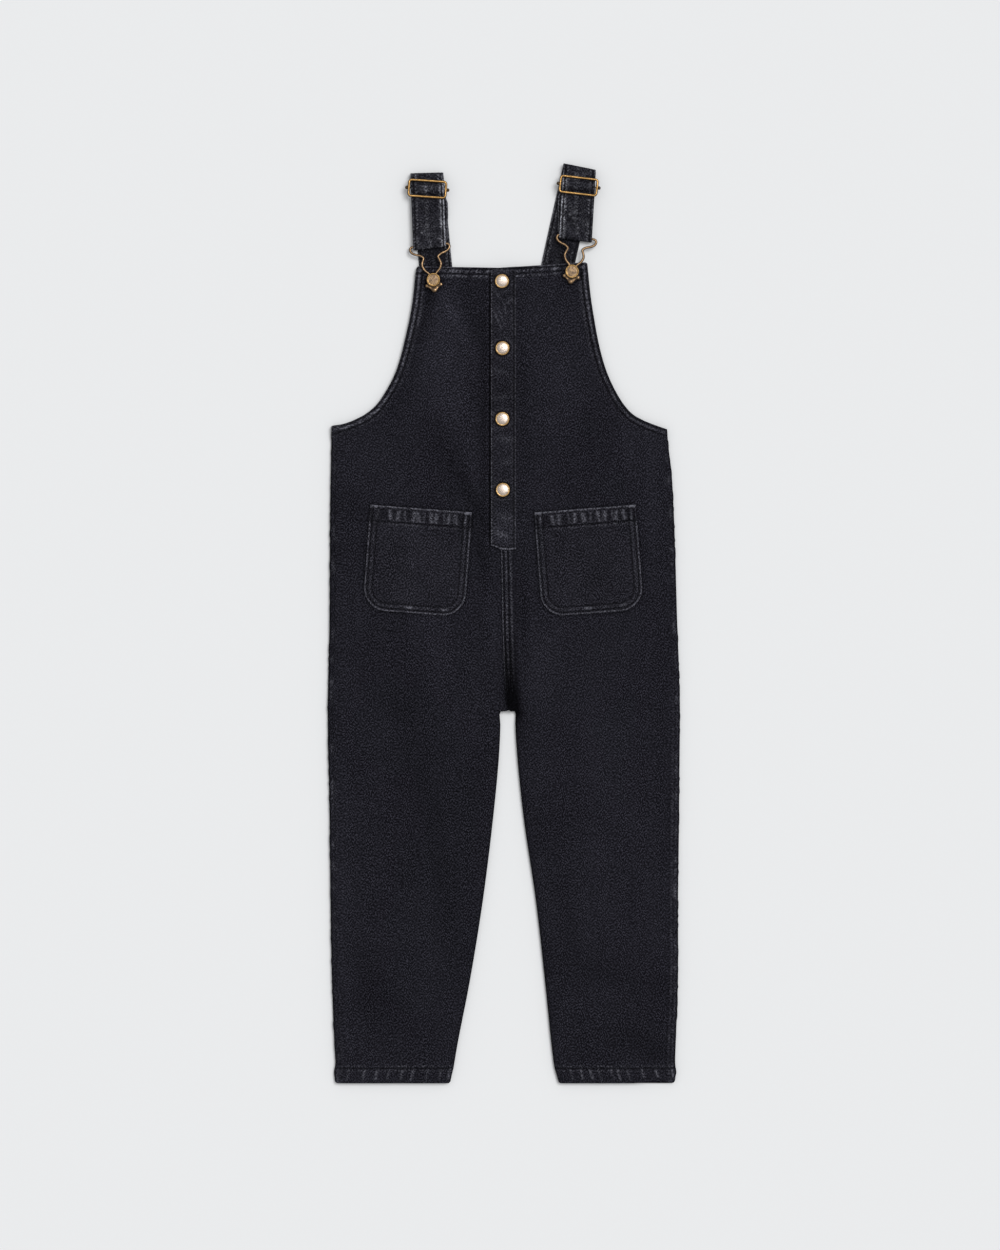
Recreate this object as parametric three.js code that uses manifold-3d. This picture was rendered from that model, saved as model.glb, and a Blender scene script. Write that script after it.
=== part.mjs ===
// Child's denim dungarees, laid out flat on their back with the bib fastened.
// Units are millimetres. x points to the wearer's left, y from the leg hems towards the
// straps, and z up from the surface. Every "up" value is a height above the leg hems.
// The garment is a wall of denim: two back panels lie on the surface, two front panels lie
// on them, and the placket, the pockets and the metal fittings lie on the front.

import * as THREE from "three";
import { mergeVertices } from "three/addons/utils/BufferGeometryUtils.js";
import Module from "manifold-3d";

const wasm = await Module();
wasm.setup();

// Driving sizes of the cloth
const clothThickness = 1.3;
const seamGap = 0.3; // between neighbouring pieces
const legHeight = 6.0; // outer face of the front over a leg
const bibHeight = 5.2; // outer face of the front over the bib
const seamEdgeHeight = 2.6; // where the front panel ends at a side seam
const backEdgeLift = 1.0; // how far the back panel curls up at a side seam
const sideRoll = 9; // width of the rounded edge at a seam
const freeEdgeRun = 22; // over this distance the bib sinks towards its free edge

// Driving sizes of the turned edges
const hemDepth = 18.5;
const armholeBandWidth = 7.6;
const bibBandWidth = 9.5;
const bandRaise = 0.8;
const bandShoulder = 1.6;

// Levels of the cut
const crotchUp = 353.5;
const placketEndUp = 507;
const underarmUp = 621.5;
const bibTopUp = 776.6;
const backTopUp = 705;

// Sizes of the pieces sewn or riveted on
const placketHalfWidth = 11.4;
const lapMiddle = 2; // middle of the layers at the centre front
// Where the left front steps down beside the lap, and where the right front's turned edge
// ends under the placket.
const lapColumns = { left: [10.5, 16], right: [-7, -11] };
const pocketSide = 96;
const pocketCornerRadius = 22;
const strapWidth = 30;
const strapThickness = 1.4;
const frontButtonRadius = 6.8;
const bibButtonRadius = 6.4;

const degrees = Math.PI / 180;
const lerp = THREE.MathUtils.lerp;
const smoothstep = THREE.MathUtils.smoothstep;

// The cut from the hem to the bib, one row for each section. "side" is the outer edge and
// "centre" the inner one: the inseam below the crotch and the centre front above it.
// The right front runs on under the left front, so its centre edge isn't seen.
const frontSections = [
  { up: 0, rightSide: -160.4, leftSide: 162.6, centreUp: 0, rightCentre: -50.4, leftCentre: 54.0 },
  { up: 9, rightSide: -161.3, leftSide: 163.4, centreUp: 9, rightCentre: -48.8, leftCentre: 51.2 },
  { up: 17.5, rightSide: -160.2, leftSide: 162.8, centreUp: 17.5, rightCentre: -47.4, leftCentre: 49.0 },
  { up: 20, rightSide: -159.9, leftSide: 162.6, centreUp: 20, rightCentre: -47.0, leftCentre: 48.4 },
  { up: 40, rightSide: -161.0, leftSide: 163.2, centreUp: 40, rightCentre: -43.6, leftCentre: 45.4 },
  { up: 98, rightSide: -163.2, leftSide: 165.3, centreUp: 98, rightCentre: -32.3, leftCentre: 39.0 },
  { up: 174, rightSide: -164.6, leftSide: 165.4, centreUp: 174, rightCentre: -20.0, leftCentre: 30.4 },
  { up: 250, rightSide: -165.4, leftSide: 166.3, centreUp: 250, rightCentre: -10.5, leftCentre: 19.2 },
  { up: 308, rightSide: -166.5, leftSide: 166.8, centreUp: 308, rightCentre: -4.9, leftCentre: 13.0 },
  { up: 340, rightSide: -167.1, leftSide: 167.1, centreUp: 340, rightCentre: -3.3, leftCentre: 10.9 },
  { up: 354, rightSide: -167.2, leftSide: 167.2, centreUp: 353.5, rightCentre: -3.4, leftCentre: 10.5 },
  { up: 362, rightSide: -167.2, leftSide: 167.1, centreUp: 354.2, rightCentre: 2.6, leftCentre: 6.8 },
  { up: 374, rightSide: -167.0, leftSide: 166.8, centreUp: 358, rightCentre: 8.4, leftCentre: 5.0 },
  { up: 396, rightSide: -166.5, leftSide: 166.2, centreUp: 384, rightCentre: 9.0, leftCentre: 3.8 },
  { up: 444, rightSide: -165.4, leftSide: 164.4, centreUp: 428, rightCentre: 9.0, leftCentre: 1.8 },
  { up: 505, rightSide: -165.2, leftSide: 162.7, centreUp: 480, rightCentre: 9.0, leftCentre: 0.2 },
  { up: 541, rightSide: -165.0, leftSide: 161.4, centreUp: 508, rightCentre: 9.0, leftCentre: -0.6 },
  { up: 580, rightSide: -164.4, leftSide: 159.2, centreUp: 534, rightCentre: 8.8, leftCentre: -6.0 },
  { up: 604, rightSide: -163.9, leftSide: 156.4, centreUp: 552, rightCentre: 8.6, leftCentre: -6.0 },
  { up: 621.5, rightSide: -163.7, leftSide: 154.9, centreUp: 566, rightCentre: 8.6, leftCentre: -6.0 },
];

// The armhole edge of the bib, one row for each section up from the underarm.
const bibSections = [
  { up: 626.4, rightSide: -152.0, leftSide: 141.0, centreUp: 580 },
  { up: 630.6, rightSide: -141.6, leftSide: 131.2, centreUp: 593 },
  { up: 636.2, rightSide: -131.0, leftSide: 121.8, centreUp: 606 },
  { up: 645.0, rightSide: -120.7, leftSide: 113.8, centreUp: 620 },
  { up: 659.2, rightSide: -111.0, leftSide: 105.2, centreUp: 637 },
  { up: 673.6, rightSide: -103.6, leftSide: 98.6, centreUp: 654 },
  { up: 688.0, rightSide: -98.6, leftSide: 93.8, centreUp: 672 },
  { up: 707.0, rightSide: -93.8, leftSide: 89.2, centreUp: 694 },
  { up: 726.0, rightSide: -89.6, leftSide: 85.8, centreUp: 716 },
  { up: 745.0, rightSide: -86.4, leftSide: 82.8, centreUp: 737 },
  { up: 764.5, rightSide: -84.4, leftSide: 80.6, centreUp: 761.5 },
  { up: 768.5, rightSide: -84.0, leftSide: 80.2, centreUp: 764.5 },
  { up: 776.6, rightSide: -83.2, leftSide: 79.4, centreUp: 772.6 },
];

// The back's own armhole, hidden by the bib, up to the edge that carries the straps.
const yokeSections = [
  { up: 624.0, rightSide: -151.0, leftSide: 142.0, centreUp: 590 },
  { up: 628.5, rightSide: -136.0, leftSide: 128.5, centreUp: 612 },
  { up: 636.5, rightSide: -118.0, leftSide: 113.0, centreUp: 634 },
  { up: 650.0, rightSide: -102.0, leftSide: 99.0, centreUp: 656 },
  { up: 669.0, rightSide: -89.0, leftSide: 87.5, centreUp: 678 },
  { up: 688.0, rightSide: -79.0, leftSide: 79.0, centreUp: 693 },
  { up: 705.0, rightSide: -72.0, leftSide: 72.0, centreUp: 705 },
];

// The largest folds of the front. "turn" leans the fold's length anticlockwise from y.
const frontFolds = [
  { x: -19, up: 640, turn: -1, length: 210, width: 9, height: -0.5 },
  { x: -20, up: 528, turn: 24, length: 76, width: 8, height: -0.8 },
  { x: 21, up: 570, turn: 2, length: 170, width: 8, height: -0.6 },
  { x: 18, up: 405, turn: 3, length: 120, width: 6, height: -1.1 },
  { x: 34, up: 395, turn: 9, length: 150, width: 12, height: 0.35 },
  { x: -14, up: 400, turn: -3, length: 130, width: 9, height: -0.6 },
  { x: -70, up: 728, turn: 4, length: 70, width: 7, height: -0.45 },
  { x: -44, up: 716, turn: 26, length: 90, width: 12, height: 0.3 },
  { x: 66, up: 726, turn: -6, length: 80, width: 7, height: -0.45 },
  { x: 46, up: 700, turn: -22, length: 110, width: 13, height: 0.3 },
  { x: -96, up: 330, turn: -12, length: 220, width: 22, height: -0.9 },
  { x: -58, up: 286, turn: -9, length: 200, width: 18, height: 0.35 },
  { x: -108, up: 150, turn: -4, length: 230, width: 17, height: -0.7 },
  { x: 92, up: 318, turn: 10, length: 220, width: 20, height: -0.9 },
  { x: 60, up: 250, turn: 7, length: 210, width: 18, height: 0.35 },
  { x: 112, up: 132, turn: 4, length: 200, width: 17, height: -0.7 },
  { x: -128, up: 585, turn: 52, length: 90, width: 13, height: -0.5 },
  { x: 124, up: 588, turn: -50, length: 90, width: 13, height: -0.5 },
];

// Where the metal fittings and the straps lie. Angles are anticlockwise from above.
const fittings = {
  right: {
    button: { x: -66.9, up: 764.1 },
    claspTurn: 6.4,
    fold: { x: -72.7, up: 865.0, lineTurn: 1.6 },
    slider: { down: 14.9, turn: -3.8 },
    backStrap: { x: -64.9, up: 777.6 },
    strapEnd: { x: -54.0, up: 682.0 },
  },
  left: {
    button: { x: 64.6, up: 770.9 },
    claspTurn: -8.0,
    fold: { x: 72.3, up: 871.2, lineTurn: -11.5 },
    slider: { down: 18.2, turn: -6.7 },
    backStrap: { x: 51.9, up: 780.4 },
    strapEnd: { x: 33.5, up: 682.0 },
  },
};

const frontButtons = [
  { name: "placket_button_1", x: 0.0, up: 760.5 },
  { name: "placket_button_2", x: -1.2, up: 698.7 },
  { name: "placket_button_3", x: -0.8, up: 631.3 },
  { name: "placket_button_4", x: -0.4, up: 564.3 },
];

const pockets = [
  { name: "pocket_right", side: "right", x: -79.2, top: 545.8, turn: -4.3 },
  { name: "pocket_left", side: "left", x: 78.2, top: 546.2, turn: 4.4 },
];

const denim = new THREE.MeshStandardMaterial({ color: 0x222126, roughness: 0.92, metalness: 0 });
const brass = new THREE.MeshStandardMaterial({ color: 0x9a7a48, roughness: 0.38, metalness: 1 });
const capMetal = new THREE.MeshStandardMaterial({ color: 0xb99a80, roughness: 0.25, metalness: 1 });

// Distance from a point to a polyline of { x, up } points.
function distanceToLine(line, x, up) {
  let best = Infinity;
  for (let i = 1; i < line.length; i += 1) {
    const a = line[i - 1];
    const b = line[i];
    const dx = b.x - a.x;
    const dy = b.up - a.up;
    const along = ((x - a.x) * dx + (up - a.up) * dy) / (dx * dx + dy * dy);
    const t = THREE.MathUtils.clamp(along, 0, 1);
    best = Math.min(best, Math.hypot(x - a.x - t * dx, up - a.up - t * dy));
  }
  return best;
}

// The free edges of the front, for one side: the armhole and the top of the bib.
function armholeLine(side) {
  const rows = [frontSections.at(-1), ...bibSections];
  return rows.map((row) => ({ x: row[side + "Side"], up: row.up }));
}

const armholes = { right: armholeLine("right"), left: armholeLine("left") };
const bibTopEdge = [armholes.right.at(-1), { x: 0, up: 772.6 }, armholes.left.at(-1)];

// How much a turned edge of the given width stands proud at a distance from the edge.
function bandHeight(distance, width) {
  return bandRaise * (1 - smoothstep(distance, width - bandShoulder, width + 0.4));
}

function foldHeight(x, up) {
  let sum = 0;
  for (const fold of frontFolds) {
    const c = Math.cos(fold.turn * degrees);
    const s = Math.sin(fold.turn * degrees);
    const across = ((x - fold.x) * c + (up - fold.up) * s) / fold.width;
    const along = ((up - fold.up) * c - (x - fold.x) * s) / (fold.length / 2);
    sum += fold.height * Math.exp(-across * across) * Math.exp(-(along ** 4));
  }
  // The layers at the centre front are stiff and keep flat.
  return sum * smoothstep(Math.abs(x - lapMiddle), 9, 16);
}

// The left front lies over the margin of the right front along the centre.
function lapLift(side, x) {
  if (side === "right") return 0;
  return (clothThickness + seamGap) * (1 - smoothstep(x, lapColumns.left[0], lapColumns.left[1]));
}

// Outer face of the front without its turned edges.
function frontPlain(side, x, up) {
  const rest = lerp(legHeight, bibHeight, smoothstep(up, 560, 640));
  const edge = lerp(4.0, 3.3, smoothstep(up, 640, 700));
  const armhole = distanceToLine(armholes[x < 0 ? "right" : "left"], x, up);
  const top = distanceToLine(bibTopEdge, x, up);
  const share = smoothstep(Math.min(armhole, top), 0, freeEdgeRun);
  const hemSink = 1.2 * (1 - smoothstep(up, 0, 30));
  return lerp(edge, rest, share) + share * foldHeight(x, up) - hemSink + lapLift(side, x);
}

// The right front has no turned edge under the left front.
function frontBands(side, x, up) {
  const armhole = distanceToLine(armholes[x < 0 ? "right" : "left"], x, up);
  const top = distanceToLine(bibTopEdge, x, up);
  const covered = side === "right" && up > crotchUp;
  const uncovered = covered ? smoothstep(-x, -lapColumns.right[0], -lapColumns.right[1]) : 1;
  return uncovered * Math.max(
    bandHeight(armhole, armholeBandWidth),
    bandHeight(top, bibBandWidth),
    bandHeight(up, hemDepth),
  );
}

function frontOuter(side, x, up) {
  return frontPlain(side, x, up) + frontBands(side, x, up);
}

// A closed wall between two faces, each given as rows of equally many points.
function wallGeometry(outer, inner) {
  const rows = outer.length;
  const columns = outer[0].length;
  const positions = [...outer.flat(), ...inner.flat()].flat();
  const index = [];
  const at = (face, i, j) => face * rows * columns + i * columns + j;
  const quad = (a, b, c, d) => index.push(a, b, c, a, c, d);
  for (let i = 1; i < rows; i += 1) {
    for (let j = 1; j < columns; j += 1) {
      quad(at(0, i - 1, j - 1), at(0, i - 1, j), at(0, i, j), at(0, i, j - 1));
      quad(at(1, i - 1, j - 1), at(1, i, j - 1), at(1, i, j), at(1, i - 1, j));
    }
  }
  for (let j = 1; j < columns; j += 1) {
    quad(at(0, 0, j), at(0, 0, j - 1), at(1, 0, j - 1), at(1, 0, j));
    quad(at(0, rows - 1, j - 1), at(0, rows - 1, j), at(1, rows - 1, j), at(1, rows - 1, j - 1));
  }
  for (let i = 1; i < rows; i += 1) {
    quad(at(0, i - 1, 0), at(0, i, 0), at(1, i, 0), at(1, i - 1, 0));
    const last = columns - 1;
    quad(at(0, i, last), at(0, i - 1, last), at(1, i - 1, last), at(1, i, last));
  }
  return outwards(positions, index);
}

// A geometry from points and triangles, turned round if its faces point inwards.
function outwards(positions, index) {
  let volume = 0;
  const p = (k) => new THREE.Vector3().fromArray(positions, 3 * k);
  for (let i = 0; i < index.length; i += 3) {
    volume += p(index[i]).dot(p(index[i + 1]).cross(p(index[i + 2])));
  }
  if (volume < 0) index.reverse();
  const geometry = new THREE.BufferGeometry();
  geometry.setAttribute("position", new THREE.Float32BufferAttribute(positions, 3));
  geometry.setIndex(index);
  return geometry;
}

// Stations along a panel: two edge curves through the table's rows, with a corner at the
// underarm, cut so that no step is longer than the panel's step.
function panelStations(rows, side, step) {
  const corner = frontSections.length - 1;
  const runs = [rows.slice(0, corner + 1), rows.slice(corner)];
  const stations = [];
  runs.forEach((run, part) => {
    const sideCurve = new THREE.CatmullRomCurve3(
      run.map((row) => new THREE.Vector3(row[side + "Side"], row.up, 0)),
    );
    const centreCurve = new THREE.CatmullRomCurve3(
      run.map((row) => new THREE.Vector3(row[side + "Centre"], row.centreUp, 0)),
    );
    for (let i = 1; i < run.length; i += 1) {
      const pieces = Math.ceil(Math.max(run[i].up - run[i - 1].up, 1) / step);
      for (let k = i === 1 && part === 0 ? 0 : 1; k <= pieces; k += 1) {
        const t = (i - 1 + k / pieces) / (run.length - 1);
        stations.push({
          side: sideCurve.getPoint(t),
          tangent: sideCurve.getTangent(t),
          centre: centreCurve.getPoint(t),
          sideSeam: part === 0 ? 1 : 0,
        });
      }
    }
  });
  stations.forEach((station) => {
    station.inseam = 1 - smoothstep(station.side.y, 354, 362);
    station.sideSeam *= 1 - smoothstep(station.side.y, 606, 621);
  });
  return stations;
}

// Columns across a panel. Each has an angle on the rolled edge of a seam, and the distance
// that it keeps from a free edge, so that the turned band gets its shoulder.
const edgeColumns = [
  { angle: 0, distance: 0 },
  { angle: 28 * degrees, distance: 1.2 },
  { angle: 58 * degrees, distance: 6.0 },
  { angle: 90 * degrees, distance: 8.2 },
];
const innerColumns = 6;

// The points of one station: where each column lies on the outer and on the inner face, and
// how far round the rolled edge it is (1 on the flat of the panel).
function stationPoints(station, side) {
  const run = new THREE.Vector3().subVectors(station.centre, station.side);
  const length = run.length();
  const across = run.clone().normalize();
  const slant = Math.max(0.45, Math.abs(across.x * station.tangent.y - across.y * station.tangent.x));
  const edge = (column, seam) => {
    const rolled = sideRoll * (1 - Math.cos(column.angle));
    const shift = seam * clothThickness * Math.cos(column.angle);
    const rise = lerp(1, Math.sin(column.angle), seam);
    return { distance: lerp(column.distance / slant, rolled, seam), shift, rise };
  };
  const sideEdges = edgeColumns.map((column) => edge(column, station.sideSeam));
  const lap = lapColumns[side].map((x) => Math.abs((x - station.centre.x) / across.x) * slant);
  const centreEdges = edgeColumns.map((column, k) => {
    return edge({ ...column, distance: lap[k - 2] ?? column.distance }, station.inseam);
  });
  const first = sideEdges.at(-1).distance;
  const last = length - centreEdges.at(-1).distance;
  const points = sideEdges.map((e) => ({ outer: e.distance, inner: e.distance + e.shift, rise: e.rise }));
  for (let k = 1; k <= innerColumns; k += 1) {
    const distance = lerp(first, last, k / (innerColumns + 1));
    points.push({ outer: distance, inner: distance, rise: 1 });
  }
  centreEdges.reverse().forEach((e) => {
    points.push({ outer: length - e.distance, inner: length - e.distance - e.shift, rise: e.rise });
  });
  const place = (distance) => station.side.clone().addScaledVector(across, distance);
  return points.map((point) => ({
    outer: place(point.outer),
    inner: place(point.inner),
    rise: point.rise,
  }));
}

// The lower corners of a leg are rounded, and the left front hem is pulled up at its side.
const hemCorner = 5;
function hemShape(side, panel, x, up, station) {
  const fade = 1 - smoothstep(up, 0, hemDepth);
  const toEdge = Math.min(Math.abs(x - station.side.x), Math.abs(x - station.centre.x));
  const depth = Math.max(0, hemCorner - toEdge);
  const corner = hemCorner - Math.sqrt(hemCorner ** 2 - depth ** 2);
  const pulled = side === "left" && panel === "front" ? 2.6 * Math.exp(-(((x - 146) / 13) ** 2)) : 0;
  return up + fade * (corner + pulled);
}

function frontPanel(side) {
  const rows = [...frontSections];
  const top = frontSections.at(-1);
  bibSections.forEach((row) => {
    rows.push({ ...row, rightCentre: top.rightCentre, leftCentre: top.leftCentre });
  });
  const outer = [];
  const inner = [];
  for (const station of panelStations(rows, side, 30)) {
    const points = stationPoints(station, side);
    const face = (p, rise, isOuter) => {
      const rest = frontPlain(side, p.x, p.y);
      const plain = lerp(seamEdgeHeight, rest, rise);
      const offset = isOuter ? frontBands(side, p.x, p.y) * rise : -clothThickness * rise;
      return [p.x, hemShape(side, "front", p.x, p.y, station), plain + offset];
    };
    outer.push(points.map((point) => face(point.outer, point.rise, true)));
    inner.push(points.map((point) => face(point.inner, point.rise, false)));
  }
  return wallGeometry(outer, inner);
}

// The centre-back seam swings with the crotch and runs straight from the seat up.
function backSeamX(up) {
  return 4 * (1 - smoothstep(up, crotchUp, 480));
}

function backPanel(side) {
  const rows = [...frontSections, ...yokeSections].map((row) => {
    if (row.centreUp <= crotchUp) return row;
    const seam = backSeamX(row.centreUp);
    const nearCrotch = row.centreUp < 355 ? 3.2 : 0;
    return {
      ...row,
      rightCentre: seam - seamGap / 2 - nearCrotch,
      leftCentre: seam + seamGap / 2 + nearCrotch,
    };
  });
  const outer = [];
  const inner = [];
  for (const station of panelStations(rows, side, 45)) {
    const points = stationPoints(station, side);
    const face = (point, isOuter) => {
      const p = point.outer;
      const curl = backEdgeLift * (1 - point.rise);
      const wall = clothThickness + bandHeight(p.y, hemDepth) * point.rise;
      return [p.x, hemShape(side, "back", p.x, p.y, station), curl + (isOuter ? 0 : wall)];
    };
    outer.push(points.map((point) => face(point, true)));
    inner.push(points.map((point) => face(point, false)));
  }
  return wallGeometry(outer, inner);
}

// The strip that carries the front buttons, with its lower end cut on a slant.
function placketGeometry() {
  const rowUps = [placketEndUp, 520, 540, 560, 580, 600, 620, 640, 660, 680, 700, 720];
  rowUps.push(737, 750, 761.5, 764.5, 772.9);
  const columns = [-placketHalfWidth, -placketHalfWidth + 1.5, 0, placketHalfWidth - 1.5, placketHalfWidth];
  const outer = [];
  const inner = [];
  for (const rowUp of rowUps) {
    const atEnd = 1 - smoothstep(rowUp, placketEndUp, 520);
    const place = (x) => rowUp + atEnd * 3.6 * smoothstep(-x, 0.5, placketHalfWidth);
    const under = (x) => frontOuter("left", x, place(x)) + seamGap;
    const edgeRound = (x) => 0.35 * smoothstep(Math.abs(x), placketHalfWidth - 1.4, placketHalfWidth);
    outer.push(columns.map((x) => [x, place(x), under(x) + clothThickness - edgeRound(x)]));
    inner.push(columns.map((x) => [x, place(x), under(x)]));
  }
  return wallGeometry(outer, inner);
}

// Half the pocket's width at a depth below its mouth: straight sides, then round corners.
function pocketHalfWidth(depth) {
  const half = pocketSide / 2;
  const intoCorner = depth - (pocketSide - pocketCornerRadius);
  if (intoCorner <= 0) return half;
  const chord = Math.sqrt(Math.max(0, pocketCornerRadius ** 2 - intoCorner ** 2));
  return half - pocketCornerRadius + chord;
}

// A patch pocket, moved out from the front panel that it lies on.
const pocketMouthBand = 13.5;
function pocketGeometry(pocket) {
  const straight = pocketSide - pocketCornerRadius;
  const depths = [0, 1.2, pocketMouthBand - 1.4, pocketMouthBand + 0.4, 30, 47, 62, straight];
  const cornerSteps = 5;
  for (let k = 1; k <= cornerSteps; k += 1) {
    depths.push(straight + pocketCornerRadius * Math.sin((k / cornerSteps) * 90 * degrees));
  }
  const shares = [-1, -0.97, -0.88, -0.6, -0.2, 0.2, 0.6, 0.88, 0.97, 1];
  const c = Math.cos(pocket.turn * degrees);
  const s = Math.sin(pocket.turn * degrees);
  const outer = [];
  const inner = [];
  for (const depth of depths) {
    const half = pocketHalfWidth(depth);
    const place = (share) => {
      const a = share * half;
      return { x: pocket.x + a * c + depth * s, up: pocket.top + a * s - depth * c };
    };
    const under = (p) => frontPlain(pocket.side, p.x, p.up) + seamGap + 0.1;
    const swell = (share) => {
      const toEdge = Math.min(half * (1 - Math.abs(share)), pocketSide - depth);
      const mouth = bandHeight(depth, pocketMouthBand);
      return 0.7 * smoothstep(toEdge, 0, 16) + mouth * smoothstep(half * (1 - Math.abs(share)), 0, 2);
    };
    const face = (share, lift) => {
      const p = place(share);
      return [p.x, p.up, under(p) + lift];
    };
    outer.push(shares.map((share) => face(share, clothThickness - 0.1 + swell(share))));
    inner.push(shares.map((share) => face(share, 0)));
  }
  return wallGeometry(outer, inner);
}

// A polyline in the plane with its corners rounded, as evenly turned points.
function roundedPath(corners) {
  const points = [];
  corners.forEach((corner, i) => {
    const p = new THREE.Vector2(corner.along, corner.height);
    if (i === 0 || i === corners.length - 1 || !corner.radius) {
      points.push({ p, blend: corner.blend });
      return;
    }
    const before = new THREE.Vector2(corners[i - 1].along, corners[i - 1].height).sub(p).normalize();
    const after = new THREE.Vector2(corners[i + 1].along, corners[i + 1].height).sub(p).normalize();
    const half = Math.acos(THREE.MathUtils.clamp(before.dot(after), -1, 1)) / 2;
    if (half > 89.5 * degrees) {
      points.push({ p, blend: corner.blend });
      return;
    }
    const reach = corner.radius / Math.tan(half);
    const middle = before.clone().add(after).normalize();
    const centre = p.clone().addScaledVector(middle, corner.radius / Math.sin(half));
    const start = p.clone().addScaledVector(before, reach).sub(centre);
    const turn = Math.PI - 2 * half;
    const sense = before.cross(after) > 0 ? -1 : 1;
    const steps = Math.max(2, Math.round(turn / (30 * degrees)));
    for (let k = 0; k <= steps; k += 1) {
      const q = start.clone().rotateAround(new THREE.Vector2(), (sense * turn * k) / steps).add(centre);
      points.push({ p: q, blend: lerp(corner.blend, corner.blendOut ?? corner.blend, k / steps) });
    }
  });
  return points;
}

// Sizes of the slider and the clasp that the strap's layers have to clear
const runningGap = 0.2;
const sliderWire = 1.0;
const sliderBar = 0.8;
const sliderHalfWidth = 16.9;
const sliderHalfHeight = 7.0;
const claspWire = 1.1;
const claspBarUp = 33.4; // from the bib button's centre to the bar in the strap's loop

// Heights of the middle of each layer of a strap
const strapHalf = strapThickness / 2;
const lowLayer = strapHalf;
const tailLayer = lowLayer + strapThickness + seamGap;
const returnLayer = tailLayer + strapThickness + seamGap;
const topLayer = returnLayer + strapThickness + seamGap;
const sliderLevel = topLayer + strapHalf + seamGap + sliderWire;
const wrapRadius = sliderBar + runningGap + strapHalf;
const overWrapRadius = wrapRadius + strapThickness + seamGap;
const loopRadius = claspWire + runningGap + strapHalf;
const loopLow = tailLayer;
const claspBarLevel = loopLow + loopRadius;
const bumpSlope = 60 * degrees;

// How far from the slider's bar a layer that goes round it at a radius meets a height.
function bumpReach(radius, height) {
  return (radius - Math.cos(bumpSlope) * (height - sliderLevel)) / Math.sin(bumpSlope);
}

// Where one strap lies: its runs, the slider and the clasp's bar, from the fittings table.
function strapLayout(side) {
  const spot = fittings[side];
  const turn = spot.claspTurn * degrees;
  const bar = {
    x: spot.button.x - claspBarUp * Math.sin(turn),
    up: spot.button.up + claspBarUp * Math.cos(turn),
  };
  const fold = spot.fold;
  const heading = (a, b) => Math.atan2(b.x - a.x, a.up - b.up);
  return {
    ...spot,
    bar,
    frontTurn: heading(fold, bar),
    backTurn: heading(fold, spot.backStrap),
    endTurn: heading(spot.backStrap, spot.strapEnd),
    barDown: Math.hypot(bar.x - fold.x, bar.up - fold.up),
    edgeDown: Math.hypot(spot.backStrap.x - fold.x, spot.backStrap.up - fold.up),
    endDown: Math.hypot(spot.strapEnd.x - spot.backStrap.x, spot.strapEnd.up - spot.backStrap.up),
  };
}

// The strap's long path, seen from its edge: from its sewn end on the back, along the
// surface, over the top fold, over the slider's bar, round the clasp's bar, and back under
// itself to end round the slider's bar. "blend" is 0 on the back run and 1 on the front run.
function strapCorners(layout) {
  const slider = layout.slider.down;
  const bar = layout.barDown;
  const ease = 1.5;
  const foldRadius = (topLayer - lowLayer) / 2;
  const onBack = clothThickness + seamGap + strapHalf;
  const backEdge = layout.edgeDown + (layout.backStrap.up - backTopUp) / Math.cos(layout.endTurn);
  const tip = bar + 0.6 + loopRadius;
  const overTop = bumpReach(overWrapRadius, sliderLevel + overWrapRadius);
  const wrapTop = bumpReach(wrapRadius, sliderLevel + wrapRadius);
  const back = [
    { along: layout.edgeDown + layout.endDown, height: onBack },
    { along: backEdge - 2, height: onBack, radius: 4 },
    { along: backEdge - 12, height: lowLayer, radius: 4 },
    { along: layout.edgeDown, height: lowLayer },
    { along: layout.edgeDown / 2, height: lowLayer },
  ];
  const front = [
    { along: slider - bumpReach(overWrapRadius, topLayer), height: topLayer, radius: ease },
    { along: slider - overTop, height: sliderLevel + overWrapRadius, radius: overWrapRadius },
    { along: slider + overTop, height: sliderLevel + overWrapRadius, radius: overWrapRadius },
    { along: slider + bumpReach(overWrapRadius, topLayer), height: topLayer, radius: ease },
    { along: slider + 24, height: topLayer },
    { along: bar - 10, height: topLayer, radius: 6 },
    { along: bar - 4, height: loopLow + 2 * loopRadius, radius: 4 },
    { along: tip, height: loopLow + 2 * loopRadius, radius: loopRadius },
    { along: tip, height: loopLow, radius: loopRadius },
    { along: bar - 6, height: loopLow, radius: 6 },
    { along: slider + 30, height: loopLow, radius: 6 },
    { along: slider + 20, height: returnLayer, radius: 6 },
    { along: slider + bumpReach(wrapRadius, returnLayer), height: returnLayer, radius: ease },
    { along: slider + wrapTop, height: sliderLevel + wrapRadius, radius: wrapRadius },
    { along: slider - wrapRadius, height: sliderLevel + wrapRadius, radius: wrapRadius },
    { along: slider - wrapRadius, height: sliderLevel - wrapRadius, radius: wrapRadius },
    { along: slider + bumpReach(0, sliderLevel - wrapRadius), height: sliderLevel - wrapRadius, radius: 1 },
    { along: slider + bumpReach(0, tailLayer), height: tailLayer, radius: ease },
    { along: slider + 16, height: tailLayer },
  ];
  const fold = [
    { along: strapHalf, height: lowLayer, radius: foldRadius, blend: 0, blendOut: 0.5 },
    { along: strapHalf, height: topLayer, radius: foldRadius, blend: 0.5, blendOut: 1 },
  ];
  return [
    ...back.map((corner) => ({ ...corner, blend: 0 })),
    ...fold,
    ...front.map((corner) => ({ ...corner, blend: 1 })),
  ];
}

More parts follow.
